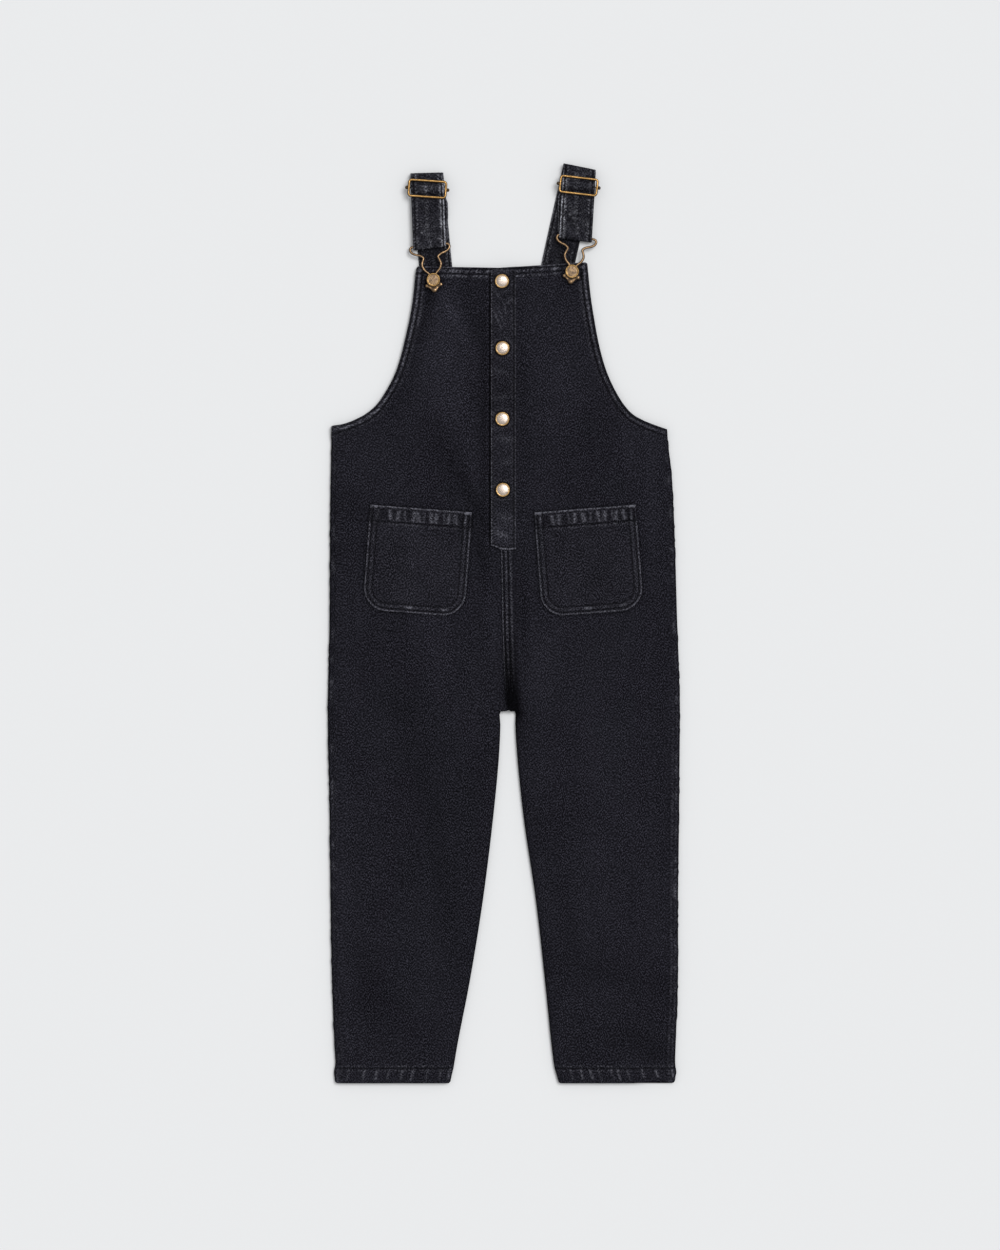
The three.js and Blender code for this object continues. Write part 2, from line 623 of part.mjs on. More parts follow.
// The lines that the strap bends along lean with the top fold, the slider and the clasp.
function frontLean(layout, along) {
  const slider = layout.slider.down;
  const stops = [
    { along: 0, turn: layout.fold.lineTurn * degrees },
    { along: slider - 7, turn: layout.slider.turn * degrees },
    { along: slider + 9, turn: layout.slider.turn * degrees },
    { along: layout.barDown - 8, turn: layout.claspTurn * degrees },
    { along: layout.barDown + 20, turn: layout.claspTurn * degrees },
  ];
  const found = stops.findIndex((stop) => along <= stop.along);
  const next = found < 0 ? stops.length - 1 : Math.max(1, found);
  const share = (along - stops[next - 1].along) / (stops[next].along - stops[next - 1].along);
  const turn = lerp(stops[next - 1].turn, stops[next].turn, THREE.MathUtils.clamp(share, 0, 1));
  return turn - layout.frontTurn;
}

function frontRun(layout, along, across) {
  const down = along - across * Math.tan(frontLean(layout, along));
  const { fold, frontTurn } = layout;
  return {
    x: fold.x + down * Math.sin(frontTurn) + across * Math.cos(frontTurn),
    up: fold.up - down * Math.cos(frontTurn) + across * Math.sin(frontTurn),
  };
}

// The back run goes straight to the edge of the bib and bends a little under it.
function backRun(layout, along, across) {
  const pastEdge = along > layout.edgeDown;
  const origin = pastEdge ? layout.backStrap : layout.fold;
  const turn = pastEdge ? layout.endTurn : layout.backTurn;
  const bend = smoothstep(along, layout.edgeDown - 8, layout.edgeDown + 8);
  const acrossTurn = lerp(layout.backTurn, layout.endTurn, bend);
  const foldLean = layout.fold.lineTurn * degrees - layout.backTurn;
  const slip = across * Math.tan(foldLean) * (1 - smoothstep(along, 2, 22));
  const down = (pastEdge ? along - layout.edgeDown : along) - slip;
  return {
    x: origin.x + down * Math.sin(turn) + across * Math.cos(acrossTurn),
    up: origin.up - down * Math.cos(turn) + across * Math.sin(acrossTurn),
  };
}

// A point of the strap: a distance along one of its runs and a distance across it.
function strapPlace(layout, along, across, blend) {
  const back = backRun(layout, along, across);
  const front = frontRun(layout, along, across);
  return { x: lerp(back.x, front.x, blend), up: lerp(back.up, front.up, blend) };
}

function strapGeometry(side) {
  const layout = strapLayout(side);
  const path = roundedPath(strapCorners(layout));
  const outer = [];
  const inner = [];
  path.forEach(({ p, blend }, i) => {
    const before = path[Math.max(0, i - 1)].p;
    const after = path[Math.min(path.length - 1, i + 1)].p;
    const normal = new THREE.Vector2(before.y - after.y, after.x - before.x).normalize();
    const edge = (lift, across) => {
      const q = p.clone().addScaledVector(normal, lift);
      const place = strapPlace(layout, q.x, across, blend);
      return [place.x, place.up, q.y];
    };
    const half = strapWidth / 2;
    outer.push([edge(strapHalf, -half), edge(strapHalf, half)]);
    inner.push([edge(-strapHalf, -half), edge(-strapHalf, half)]);
  });
  return wallGeometry(outer, inner);
}

// A round wire along a curve.
function wireGeometry(points, radius, sides, steps) {
  const section = new THREE.Shape(
    Array.from({ length: sides }, (unused, k) => {
      const a = (k / sides) * 2 * Math.PI;
      return new THREE.Vector2(radius * Math.cos(a), radius * Math.sin(a));
    }),
  );
  const extrudePath = new THREE.CatmullRomCurve3(points);
  return new THREE.ExtrudeGeometry(section, { steps, bevelEnabled: false, extrudePath });
}

// Joins and cuts with manifold-3d.
function solid(geometry) {
  const bare = new THREE.BufferGeometry();
  bare.setAttribute("position", geometry.getAttribute("position"));
  bare.setIndex(geometry.index);
  const merged = mergeVertices(bare, 1e-4);
  return new wasm.Manifold(
    new wasm.Mesh({
      numProp: 3,
      vertProperties: new Float32Array(merged.attributes.position.array),
      triVerts: new Uint32Array(merged.index.array),
    }),
  );
}

function geometryOf(manifold) {
  const mesh = manifold.getMesh();
  const geometry = new THREE.BufferGeometry();
  geometry.setAttribute("position", new THREE.BufferAttribute(mesh.vertProperties, 3));
  geometry.setIndex(new THREE.BufferAttribute(mesh.triVerts, 1));
  return geometry;
}

// The slider: a wire frame of two bent halves, and a bar whose ends are beads.
function sliderGeometry() {
  const corner = 2.4;
  const overlap = 0.6;
  const halfFrame = [];
  const addPoint = (x, y) => halfFrame.push(new THREE.Vector3(x, y, 0));
  addPoint(-overlap, sliderHalfHeight);
  addPoint(sliderHalfWidth / 2, sliderHalfHeight);
  for (const turn of [90, 60, 30, 0, -30, -60, -90]) {
    const cornerY = Math.sign(turn) * (sliderHalfHeight - corner);
    const x = sliderHalfWidth - corner + corner * Math.cos(turn * degrees);
    addPoint(x, cornerY + corner * Math.sin(turn * degrees));
  }
  addPoint(sliderHalfWidth / 2, -sliderHalfHeight);
  addPoint(-overlap, -sliderHalfHeight);
  const half = wireGeometry(halfFrame, sliderWire, 7, 20);
  const beadAt = sliderHalfWidth + 2.1;
  const bar = new THREE.CylinderGeometry(sliderBar, sliderBar, 2 * beadAt, 7);
  bar.rotateZ(90 * degrees);
  let whole = solid(half).add(solid(half.clone().rotateZ(180 * degrees))).add(solid(bar));
  for (const x of [-beadAt, beadAt]) {
    whole = whole.add(solid(new THREE.SphereGeometry(1.5, 7, 5).translate(x, 0, 0)));
  }
  return geometryOf(whole);
}

// The clasp's wire from its plate up to its bar, one side. "level" is its height there.
const claspPlateLevel = bibHeight + seamGap;
const claspHigh = claspPlateLevel + claspWire;
const claspProfile = [
  { x: 2.9, y: 3.4, level: claspHigh },
  { x: 3.3, y: 5.9, level: claspHigh },
  { x: 7.4, y: 10.4, level: claspHigh },
  { x: 9.0, y: 14.9, level: claspHigh },
  { x: 7.9, y: 18.8, level: claspHigh - 0.1 },
  { x: 7.0, y: 21.6, level: claspHigh - 0.4 },
  { x: 9.5, y: 24.0, level: claspHigh - 0.8 },
  { x: 14.1, y: 25.7, level: claspHigh - 1.3 },
  { x: 17.8, y: 27.9, level: claspHigh - 1.7 },
  { x: 19.1, y: 30.6, level: claspHigh - 2.0 },
  { x: 18.4, y: 32.8, level: claspBarLevel },
  { x: 16.2, y: 33.4, level: claspBarLevel },
];
const claspHoleRadius = 2.9;
const claspPlateThickness = 1.2;

// The stamped plate round the button's shank: two side lobes and a round lower tip.
function claspPlateShape() {
  const shape = new THREE.Shape();
  shape.moveTo(0, 5.2);
  shape.lineTo(4.2, 4.6);
  shape.bezierCurveTo(5.6, 3, 5.4, -1, 6.6, -3.5);
  shape.absarc(6.9, -5.0, 1.5, 80 * degrees, -75 * degrees, true);
  shape.bezierCurveTo(5.6, -6.9, 4.0, -7.6, 2.3, -10.2);
  shape.absarc(0, -9.4, 2.4, -20 * degrees, -160 * degrees, true);
  shape.bezierCurveTo(-4.0, -7.6, -5.6, -6.9, -7.3, -6.45);
  shape.absarc(-6.9, -5.0, 1.5, -105 * degrees, -260 * degrees, true);
  shape.bezierCurveTo(-5.4, -1, -5.6, 3, -4.2, 4.6);
  const hole = new THREE.Path();
  hole.absarc(0, 0, claspHoleRadius, 0, 2 * Math.PI, false);
  shape.holes.push(hole);
  return shape;
}

function claspGeometry() {
  const right = claspProfile.map((row) => new THREE.Vector3(row.x, row.y, row.level));
  const left = claspProfile.map((row) => new THREE.Vector3(-row.x, row.y, row.level)).reverse();
  const wire = wireGeometry([...right, ...left], claspWire, 6, 46);
  const plate = new THREE.ExtrudeGeometry(claspPlateShape(), {
    depth: claspPlateThickness,
    bevelEnabled: false,
    curveSegments: 5,
  }).translate(0, 0, claspPlateLevel);
  const shankHole = new THREE.CylinderGeometry(claspHoleRadius, claspHoleRadius, 20, 16);
  shankHole.rotateX(90 * degrees);
  return geometryOf(solid(plate).add(solid(wire)).subtract(solid(shankHole)));
}

// A turned button: profile rows give its radius and its height above its foot.
function buttonGeometry(rows, sides) {
  const profile = rows.map((row) => new THREE.Vector2(row.radius, row.height));
  return new THREE.LatheGeometry(profile, sides).rotateX(Math.PI / 2);
}

function frontButtonRows() {
  const r = frontButtonRadius;
  return [
    { radius: 0, height: 0 },
    { radius: 3.0, height: 0 },
    { radius: 3.0, height: 0.6 },
    { radius: r - 0.3, height: 0.7 },
    { radius: r, height: 1.3 },
    { radius: r - 0.5, height: 2.0 },
    { radius: r - 2.2, height: 2.6 },
    { radius: 0, height: 3.0 },
  ];
}

// The bib button's head stands above the clasp on a shank that reaches the cloth.
const headLift = claspHigh + claspWire + seamGap;
function bibButtonRows(foot) {
  const r = bibButtonRadius;
  const under = headLift - foot;
  return [
    { radius: 0, height: 0 },
    { radius: 2.4, height: 0 },
    { radius: 2.4, height: under },
    { radius: r - 0.4, height: under },
    { radius: r, height: under + 0.7 },
    { radius: r, height: under + 1.6 },
    { radius: r - 0.6, height: under + 2.2 },
    { radius: r - 1.3, height: under + 1.7 },
    { radius: 0, height: under + 1.9 },
  ];
}

function meshOf(name, geometry, material) {
  const mesh = new THREE.Mesh(geometry, material);
  mesh.name = name;
  return mesh;
}

function strapWithFittings(side) {
  const set = new THREE.Group();
  const layout = strapLayout(side);
  set.add(meshOf("strap_" + side, strapGeometry(side), denim));

  const slider = meshOf("slider_" + side, sliderGeometry(), brass);
  const sliderSpot = strapPlace(layout, layout.slider.down, 0, 1);
  slider.position.set(sliderSpot.x, sliderSpot.up, sliderLevel);
  slider.rotation.z = layout.slider.turn * degrees;
  set.add(slider);

  const clasp = meshOf("clasp_" + side, claspGeometry(), brass);
  clasp.position.set(layout.button.x, layout.button.up, 0);
  clasp.rotation.z = layout.claspTurn * degrees;
  set.add(clasp);

  const foot = frontOuter(side, layout.button.x, layout.button.up) + seamGap;
  const button = meshOf("bib_button_" + side, buttonGeometry(bibButtonRows(foot), 16), capMetal);
  button.position.set(layout.button.x, layout.button.up, foot);
  set.add(button);
  return set;
}

function placketWithButtons() {
  const set = new THREE.Group();
  set.add(meshOf("placket", placketGeometry(), denim));
  for (const spot of frontButtons) {
    const button = meshOf(spot.name, buttonGeometry(frontButtonRows(), 16), capMetal);
    const placketTop = frontOuter("left", spot.x, spot.up) + seamGap + clothThickness;
    button.position.set(spot.x, spot.up, placketTop + seamGap);
    set.add(button);
  }
  return set;
}

const dungarees = new THREE.Group();
for (const side of ["right", "left"]) {
  dungarees.add(meshOf("back_" + side, backPanel(side), denim));
  dungarees.add(meshOf("front_" + side, frontPanel(side), denim));
  dungarees.add(strapWithFittings(side));
}
dungarees.add(placketWithButtons());
for (const pocket of pockets) {
  dungarees.add(meshOf(pocket.name, pocketGeometry(pocket), denim));
}

// The origin is the middle of the garment's footprint, on the surface.
const footprint = new THREE.Box3().setFromObject(dungarees);
dungarees.position.set(
  -(footprint.min.x + footprint.max.x) / 2,
  -(footprint.min.y + footprint.max.y) / 2,
  -footprint.min.z,
);

export default dungarees;
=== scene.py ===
import math

import bmesh
import bpy
import numpy as np
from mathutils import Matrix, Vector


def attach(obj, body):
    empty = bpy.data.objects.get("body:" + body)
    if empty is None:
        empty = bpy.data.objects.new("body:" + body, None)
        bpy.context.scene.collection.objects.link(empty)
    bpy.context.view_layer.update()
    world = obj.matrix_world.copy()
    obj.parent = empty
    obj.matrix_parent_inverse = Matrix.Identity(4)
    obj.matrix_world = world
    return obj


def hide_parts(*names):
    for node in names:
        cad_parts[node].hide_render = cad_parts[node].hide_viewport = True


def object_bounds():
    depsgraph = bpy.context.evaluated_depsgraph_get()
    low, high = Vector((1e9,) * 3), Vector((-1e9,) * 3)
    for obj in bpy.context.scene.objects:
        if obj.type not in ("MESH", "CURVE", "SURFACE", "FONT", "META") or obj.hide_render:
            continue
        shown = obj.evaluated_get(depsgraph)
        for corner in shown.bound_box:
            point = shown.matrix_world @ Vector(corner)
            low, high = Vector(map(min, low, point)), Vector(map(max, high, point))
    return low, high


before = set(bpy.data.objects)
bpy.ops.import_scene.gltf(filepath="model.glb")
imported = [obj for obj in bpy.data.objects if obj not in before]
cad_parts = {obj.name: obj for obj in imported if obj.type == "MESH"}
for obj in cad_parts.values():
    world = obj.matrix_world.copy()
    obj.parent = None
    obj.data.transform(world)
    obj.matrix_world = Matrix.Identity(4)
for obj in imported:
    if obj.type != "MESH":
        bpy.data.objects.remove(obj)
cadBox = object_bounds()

# Child's denim dungarees, laid out flat on their back with the bib fastened.
# Places are in millimetres: x towards the wearer's left, up from the leg hems towards
# the straps, z above the surface. toWorld() turns them into the frame's metres.
mm = 0.001
hemLine = cadBox[0][1] / mm  # the frame's y of the leg hems, in mm


def toWorld(x, up, z):
    return np.stack([np.asarray(x) * mm, (np.asarray(up) + hemLine) * mm, np.asarray(z) * mm], -1)


def smooth(value, low, high):
    t = np.clip((np.asarray(value, float) - low) / (high - low), 0, 1)
    return t * t * (3 - 2 * t)


def mix(a, b, share):
    return a + (b - a) * share


def bump(value, middle, width):
    return np.exp(-(((value - middle) / width) ** 2))


def softNoise(x, y, scale, seed):
    # Value noise from -1 to 1, the same for all layers that lie on each other.
    gx, gy = np.asarray(x) / scale, np.asarray(y) / scale
    ix, iy = np.floor(gx), np.floor(gy)
    fx, fy = gx - ix, gy - iy
    fx, fy = fx * fx * (3 - 2 * fx), fy * fy * (3 - 2 * fy)

    def corner(i, j):
        h = np.sin((ix + i) * 127.1 + (iy + j) * 311.7 + seed * 74.7) * 43758.5453
        return 2 * (h - np.floor(h)) - 1

    low = mix(corner(0, 0), corner(1, 0), fx)
    high = mix(corner(0, 1), corner(1, 1), fx)
    return mix(low, high, fy)


def throughRows(points, t):
    # Centripetal curve through points, at row numbers t that may be fractions.
    p = np.asarray(points, float)
    step = np.sqrt(np.linalg.norm(np.diff(p, axis=0), axis=1)) + 1e-9
    slope = np.diff(p, axis=0) / step[:, None]
    tangent = np.empty_like(p)
    tangent[0], tangent[-1] = slope[0], slope[-1]
    weight = (step[1:] / (step[1:] + step[:-1]))[:, None]
    tangent[1:-1] = slope[:-1] * weight + slope[1:] * (1 - weight)
    i = np.clip(np.floor(t).astype(int), 0, len(p) - 2)
    s = (t - i)[:, None]
    h = step[i][:, None]
    a, b = p[i], p[i + 1]
    return (
        (2 * s**3 - 3 * s**2 + 1) * a
        + (s**3 - 2 * s**2 + s) * h * tangent[i]
        + (3 * s**2 - 2 * s**3) * b
        + (s**3 - s**2) * h * tangent[i + 1]
    )


def runAlong(points):
    # Distance of each point along a polyline.
    return np.concatenate([[0], np.cumsum(np.linalg.norm(np.diff(points, axis=0), axis=1))])


def alongLine(points, step):
    # Points evenly spaced along a polyline.
    p = np.asarray(points, float)
    lengths = runAlong(p)
    count = max(2, int(round(lengths[-1] / step)) + 1)
    at = np.linspace(0, lengths[-1], count)
    return np.stack([np.interp(at, lengths, p[:, k]) for k in range(p.shape[1])], -1)


def toLine(line, x, up):
    # Distance from points to a polyline of (x, up).
    x, up = np.asarray(x, float), np.asarray(up, float)
    best = np.full(x.shape, 1e9)
    for a, b in zip(line[:-1], line[1:]):
        d = b - a
        t = np.clip(((x - a[0]) * d[0] + (up - a[1]) * d[1]) / (d @ d), 0, 1)
        best = np.minimum(best, np.hypot(x - a[0] - t * d[0], up - a[1] - t * d[1]))
    return best


def insetLine(line, distance, side):
    # A polyline moved sideways: side 1 is to the left of its direction.
    d = np.gradient(line, axis=0)
    d /= np.linalg.norm(d, axis=1)[:, None]
    return line + side * distance * np.stack([-d[:, 1], d[:, 0]], -1)


# Cut of the garment

cloth = {
    "thickness": 1.3,
    "seamGap": 0.3,
    "legHeight": 6.0,
    "bibHeight": 5.2,
    "seamEdge": 2.6,
    "backCurl": 1.0,
    "sideRoll": 9,
    "freeEdgeRun": 22,
    "hemDepth": 18.5,
    "armholeBand": 7.6,
    "bibBand": 9.5,
    "bandRaise": 0.8,
    "armholeRows": (1.9, 6.2),  # rows of stitches, from the edge
    "bibRows": (1.5, 6.4),
    "hemRows": (15.0,),
    "seamRows": (2.2, 6.7),
    "lapMiddle": 2,
    "lapStep": (10.5, 16),
    "lapBand": (-11, -7),
    "crotch": 353.5,
    "bibTopMiddle": 774.6,
}

# Hem to underarm, a column for each edge of the cut
sections = {
    "up": [0, 9, 17.5, 20, 40, 98, 174, 250, 308, 340, 354, 362, 374, 396, 444, 505, 541, 580, 604,
           621.5],
    "rightSide": [-160.4, -161.3, -160.2, -159.9, -161.0, -163.2, -164.6, -165.4, -166.5, -167.1,
                  -167.2, -167.2, -167.0, -166.5, -165.4, -165.2, -165.0, -164.4, -163.9, -163.7],
    "leftSide": [162.6, 163.4, 162.8, 162.6, 163.2, 165.3, 165.4, 166.3, 166.8, 167.1,
                 167.2, 167.1, 166.8, 166.2, 164.4, 162.7, 161.4, 159.2, 156.4, 154.9],
    "centreUp": [0, 9, 17.5, 20, 40, 98, 174, 250, 308, 340,
                 353.5, 354.2, 358, 384, 428, 480, 508, 534, 552, 566],
    "rightCentre": [-50.4, -48.8, -47.4, -47.0, -43.6, -32.3, -20.0, -10.5, -4.9, -3.3,
                    -3.4, 2.6, 8.4, 9.0, 9.0, 9.0, 9.0, 8.8, 8.6, 8.6],
    "leftCentre": [51.4, 49.3, 47.7, 47.3, 44.9, 39.0, 30.4, 19.2, 13.0, 10.9,
                   10.5, 5.8, 3.4, 0.6, -1.2, -2.2, -3.0, -6.0, -6.0, -6.0],
}

# Armhole, from the underarm up to the bib's corner
bib = {
    "up": [621.5, 626.4, 630.6, 636.2, 645.0, 659.2, 673.6, 688.0, 707.0, 726.0, 745.0, 764.5, 776.6],
    "rightSide": [-163.7, -152.0, -141.6, -131.0, -120.7, -111.0, -103.6, -98.6, -93.8, -89.6,
                  -86.4, -84.4, -83.2],
    "leftSide": [154.9, 141.0, 131.2, 121.8, 113.8, 105.2, 98.6, 93.8, 89.2, 85.8, 82.8, 80.6, 79.4],
    "centreUp": [566, 580, 593, 606, 620, 637, 654, 672, 694, 716, 737, 761.5, 774.6],
    "cornerRise": {"right": -0.4, "left": 3.5},
}

# The back's armhole and its edge that carries the straps, hidden by the bib
yoke = {
    "up": [621.5, 624.0, 628.5, 636.5, 650.0, 669.0, 688.0, 705.0],
    "rightSide": [-163.7, -151.0, -136.0, -118.0, -102.0, -89.0, -79.0, -72.0],
    "leftSide": [154.9, 142.0, 128.5, 113.0, 99.0, 87.5, 79.0, 72.0],
    "centreUp": [566, 590, 612, 634, 656, 678, 693, 705],
    "cornerRise": {"right": 0, "left": 0},
}

# Folds: x, up, turn in degrees anticlockwise from the garment's length, length, width, height
folds = [
    (-21, 640, -1, 210, 9, -0.5), (-22, 528, 24, 76, 8, -0.8), (19, 570, 2, 170, 8, -0.6),
    (16, 405, 3, 120, 6, -1.1), (32, 395, 9, 150, 12, 0.35), (-16, 400, -3, 130, 9, -0.6),
    (-72, 728, 4, 70, 7, -0.45), (-46, 716, 26, 90, 12, 0.3), (64, 726, -6, 80, 7, -0.45),
    (44, 700, -22, 110, 13, 0.3), (-98, 330, -12, 220, 22, -0.9), (-60, 286, -9, 200, 18, 0.35),
    (-110, 150, -4, 230, 17, -0.7), (90, 318, 10, 220, 20, -0.9), (58, 250, 7, 210, 18, 0.35),
    (110, 132, 4, 200, 17, -0.7), (-130, 585, 52, 90, 13, -0.5), (122, 588, -50, 90, 13, -0.5),
]

# Short deep creases where the legs meet
crotchFolds = [(11.6, 372, 2, 62, 2.6, -2.4), (8.5, 357, 40, 26, 4.0, -1.2),
               (-8, 366, -12, 40, 5.0, -0.8)]

# Paler and darker stretches, partly left by the wash and partly painted shade and light of
# the folds and the crotch, in the same columns, height as a share of the colour
washAndFoldShade = [
    (-18, 640, 0, 210, 5.5, -0.34), (-52, 592, 27, 125, 13, -0.24), (7.5, 383, 3, 84, 8, -0.5),
    (9.5, 361, 20, 30, 8, -0.55), (-69, 240, 11, 230, 16, -0.2), (-126, 95, 15, 120, 17, -0.2),
    (90, 699, 20, 120, 10, -0.22), (15, 628, 0, 200, 6, -0.16), (-77, 718, -15, 84, 6.5, -0.34),
    (-31, 740, 14, 64, 7, -0.2), (-72, 748, 0, 34, 7, -0.25), (114, 101, 78, 100, 13, -0.2),
    (137, 38, 70, 84, 13, -0.24), (-22, 506, 15, 80, 6, -0.28), (62, 156, 12, 80, 11, -0.18),
    (-118, 376, 38, 84, 17, -0.15), (18, 450, 4, 110, 5, -0.2), (150, 300, 0, 300, 7, -0.06),
    (-62, 690, 3, 150, 21, 0.22), (-48, 729, 28, 56, 4.5, 0.4), (-63, 412, 15, 120, 22, 0.2),
    (32, 398, -8, 120, 20, 0.2), (44, 700, 0, 160, 24, 0.12), (102, 262, 4, 220, 28, 0.1),
    (141, 560, 3, 170, 8, 0.22), (-10, 446, 3, 90, 6, 0.28), (119, 600, 12, 64, 7, 0.24),
    (-102, 575, 20, 90, 15, 0.1), (-40, 640, 10, 120, 9, 0.14), (-120, 480, 8, 120, 12, -0.1),
    (-12, 510, 43, 26, 1.4, 0.5), (-32, 560, 24, 90, 5, -0.2), (-152, 200, 0, 340, 8, 0.1),
    (58, 640, -18, 90, 16, 0.08), (-48, 700, 4, 200, 34, 0.09), (46, 696, -4, 210, 36, 0.10),
]


def edgeRows(table, edge, level):
    return np.stack([table[edge], table[level]], -1).astype(float)


def upperEdge(upper, side):
    rows = edgeRows(upper, side + "Side", "up")
    rows[-1, 1] += upper["cornerRise"][side]
    return rows


def armholeLine(side):
    rows = upperEdge(bib, side)
    return throughRows(rows, np.linspace(0, len(rows) - 1, 60))


armhole = {side: armholeLine(side) for side in ("right", "left")}
bibTop = np.array([armhole["right"][-1], [0, cloth["bibTopMiddle"]], armhole["left"][-1]])


def toArmhole(x, up):
    return np.where(np.asarray(x) < 0, toLine(armhole["right"], x, up), toLine(armhole["left"], x, up))


def band(distance, width, rows):
    # A turned edge: raised, with its fold rounded and its rows of stitches sunk in.
    raised = cloth["bandRaise"] * (1 - smooth(distance, width - 1.6, width + 0.4))
    total = raised - 0.5 * np.exp(-np.clip(distance, 0, 9) / 0.7)
    for row in rows:
        total = total - 0.40 * bump(distance, row, 0.75)
    return total


def creases(rows, x, up, power):
    # Sum of long soft marks: x, up, turn, length, width, height.
    total = np.zeros(np.shape(x))
    for cx, cup, turn, length, width, height in rows:
        c, s = math.cos(math.radians(turn)), math.sin(math.radians(turn))
        across = ((x - cx) * c + (up - cup) * s) / width
        along = ((up - cup) * c - (x - cx) * s) / (length / 2)
        total += height * np.exp(-across**2) * np.exp(-(np.abs(along) ** power))
    return total


def foldHeight(x, up):
    awayFromLap = smooth(np.abs(x - cloth["lapMiddle"]), 9, 16)
    return 1.5 * creases(folds, x, up, 4) * awayFromLap + creases(crotchFolds, x, up, 2)


def frontPlain(side, x, up):
    x, up = np.asarray(x, float), np.asarray(up, float)
    rest = mix(cloth["legHeight"], cloth["bibHeight"], smooth(up, 560, 640))
    edge = mix(4.0, 3.3, smooth(up, 640, 700))
    free = np.minimum(toArmhole(x, up), toLine(bibTop, x, up))
    share = smooth(free, 0, cloth["freeEdgeRun"])
    z = mix(edge, rest, share) + share * foldHeight(x, up)
    z += share * (0.10 * softNoise(x, up, 17, 3) + 0.07 * softNoise(x, up, 7, 5))
    z -= 1.2 * (1 - smooth(up, 0, 30))
    if side == "left":
        z += (cloth["thickness"] + cloth["seamGap"]) * (1 - smooth(x, *cloth["lapStep"]))
    return z


# Puckers across the turned hems, at the places where they show, in mm
hemPuckers = {
    "right": [-148, -133, -121, -110, -97, -87, -73, -61, -52],
    "left": [64, 74, 83, 91, 103, 109, 118, 132, 145, 160],
}


def hemRoping(side, x, up):
    total = np.zeros(np.shape(x))
    for k, place in enumerate(hemPuckers[side]):
        lean = place + (up - 9) * (0.22 if side == "right" else -0.25)
        total += (0.40 + 0.16 * (k % 3)) * bump(x, lean, 1.35)
    inside = smooth(up, 1.5, 5) * (1 - smooth(up, 13.0, 16.5))
    return (total - 0.12) * inside


def frontBands(side, x, up):
    arm, top = toArmhole(x, up), toLine(bibTop, x, up)
    hem = 0.6 * band(up, cloth["hemDepth"], cloth["hemRows"]) + hemRoping(side, x, up)
    turnedArm = band(arm, cloth["armholeBand"], cloth["armholeRows"])
    bands = np.maximum.reduce([turnedArm, band(top, cloth["bibBand"], cloth["bibRows"]), hem])
    if side == "right":
        covered = np.where(up > cloth["crotch"],
                           smooth(-x, -cloth["lapBand"][1], -cloth["lapBand"][0]), 1)
        return bands * covered
    return bands


def frontFace(side, x, up):
    return frontPlain(side, x, up) + frontBands(side, x, up)


print("cut ready")


# Mesh makers. Each point of a cloth piece has marks for its material: wear (rubbed pale),
# shade (washed paler or darker, and painted shade and light), row (mm to the nearest row of
# stitches), run (mm along it) and pull (how much the row puckers the cloth).
farFromRow = 9.0


def nearestRow(*rows):
    # rows: pairs of (distance, run); gives the marks of the nearest.
    distance, run = np.broadcast_arrays(*rows[0])
    for otherDistance, otherRun in rows[1:]:
        nearer = otherDistance < distance
        distance, run = np.where(nearer, otherDistance, distance), np.where(nearer, otherRun, run)
    return {"row": np.minimum(distance, farFromRow), "run": run, "pull": np.ones(distance.shape)}


def meshObject(name, points, faces, marks=None, material=None, smoothFaces=True):
    mesh = bpy.data.meshes.new(name)
    mesh.from_pydata(np.asarray(points).tolist(), [], [list(map(int, f)) for f in faces])
    mesh.validate()
    bm = bmesh.new()
    bm.from_mesh(mesh)
    bmesh.ops.recalc_face_normals(bm, faces=bm.faces)
    bm.to_mesh(mesh)
    bm.free()
    mesh.polygons.foreach_set("use_smooth", [smoothFaces] * len(mesh.polygons))
    facing = np.empty(len(mesh.vertices) * 3, np.float32)
    mesh.vertices.foreach_get("normal", facing)
    for key, values in (marks or {}).items():
        if callable(values):
            values = values(facing.reshape(-1, 3))
        attribute = mesh.attributes.new(key, "FLOAT", "POINT")
        attribute.data.foreach_set("value", np.asarray(values, np.float32).ravel())
    piece = bpy.data.objects.new(name, mesh)
    bpy.context.scene.collection.objects.link(piece)
    if material:
        mesh.materials.append(material)
    return piece


def quadGrid(rows, columns, first=0, closed=False):
    # Faces of a grid of points, row after row.
    across = np.arange(columns if closed else columns - 1)
    i, j = np.meshgrid(np.arange(rows - 1), across, indexing="ij")
    k = (j + 1) % columns
    a, b = first + i * columns + j, first + i * columns + k
    return np.stack([a, b, b + columns, a + columns], -1).reshape(-1, 4)


def loopFaces(rows, columns):
    # Faces that join the last ring of points to the first.
    last = (rows - 1) * columns
    return [[last + j, last + (j + 1) % columns, (j + 1) % columns, j] for j in range(columns)]


def endFaces(rows, columns):
    # One face at each end of a tube.
    last = (rows - 1) * columns
    return [list(range(columns))[::-1], list(range(last, last + columns))]


def shell(name, outer, inner, marks, material):
    # A wall of cloth between two grids of points of the same shape, with marks on its outer face.
    rows, columns = outer.shape[:2]
    count = rows * columns
    grid = np.arange(count).reshape(rows, columns)
    ring = np.concatenate([grid[0, :-1], grid[:-1, -1], grid[-1, :0:-1], grid[:0:-1, 0]])
    following = np.roll(ring, -1)
    rim = np.stack([ring, following, following + count, ring + count], -1)
    faces = np.concatenate([quadGrid(rows, columns), quadGrid(rows, columns, count)[:, ::-1], rim])
    points = np.concatenate([outer.reshape(-1, 3), inner.reshape(-1, 3)])
    both = {}
    for key, values in marks.items():
        values = np.broadcast_to(values, (rows, columns)).ravel()
        both[key] = np.concatenate([values, np.full(count, farFromRow if key == "row" else 0.0)])
    return meshObject(name, points, faces, both, material)


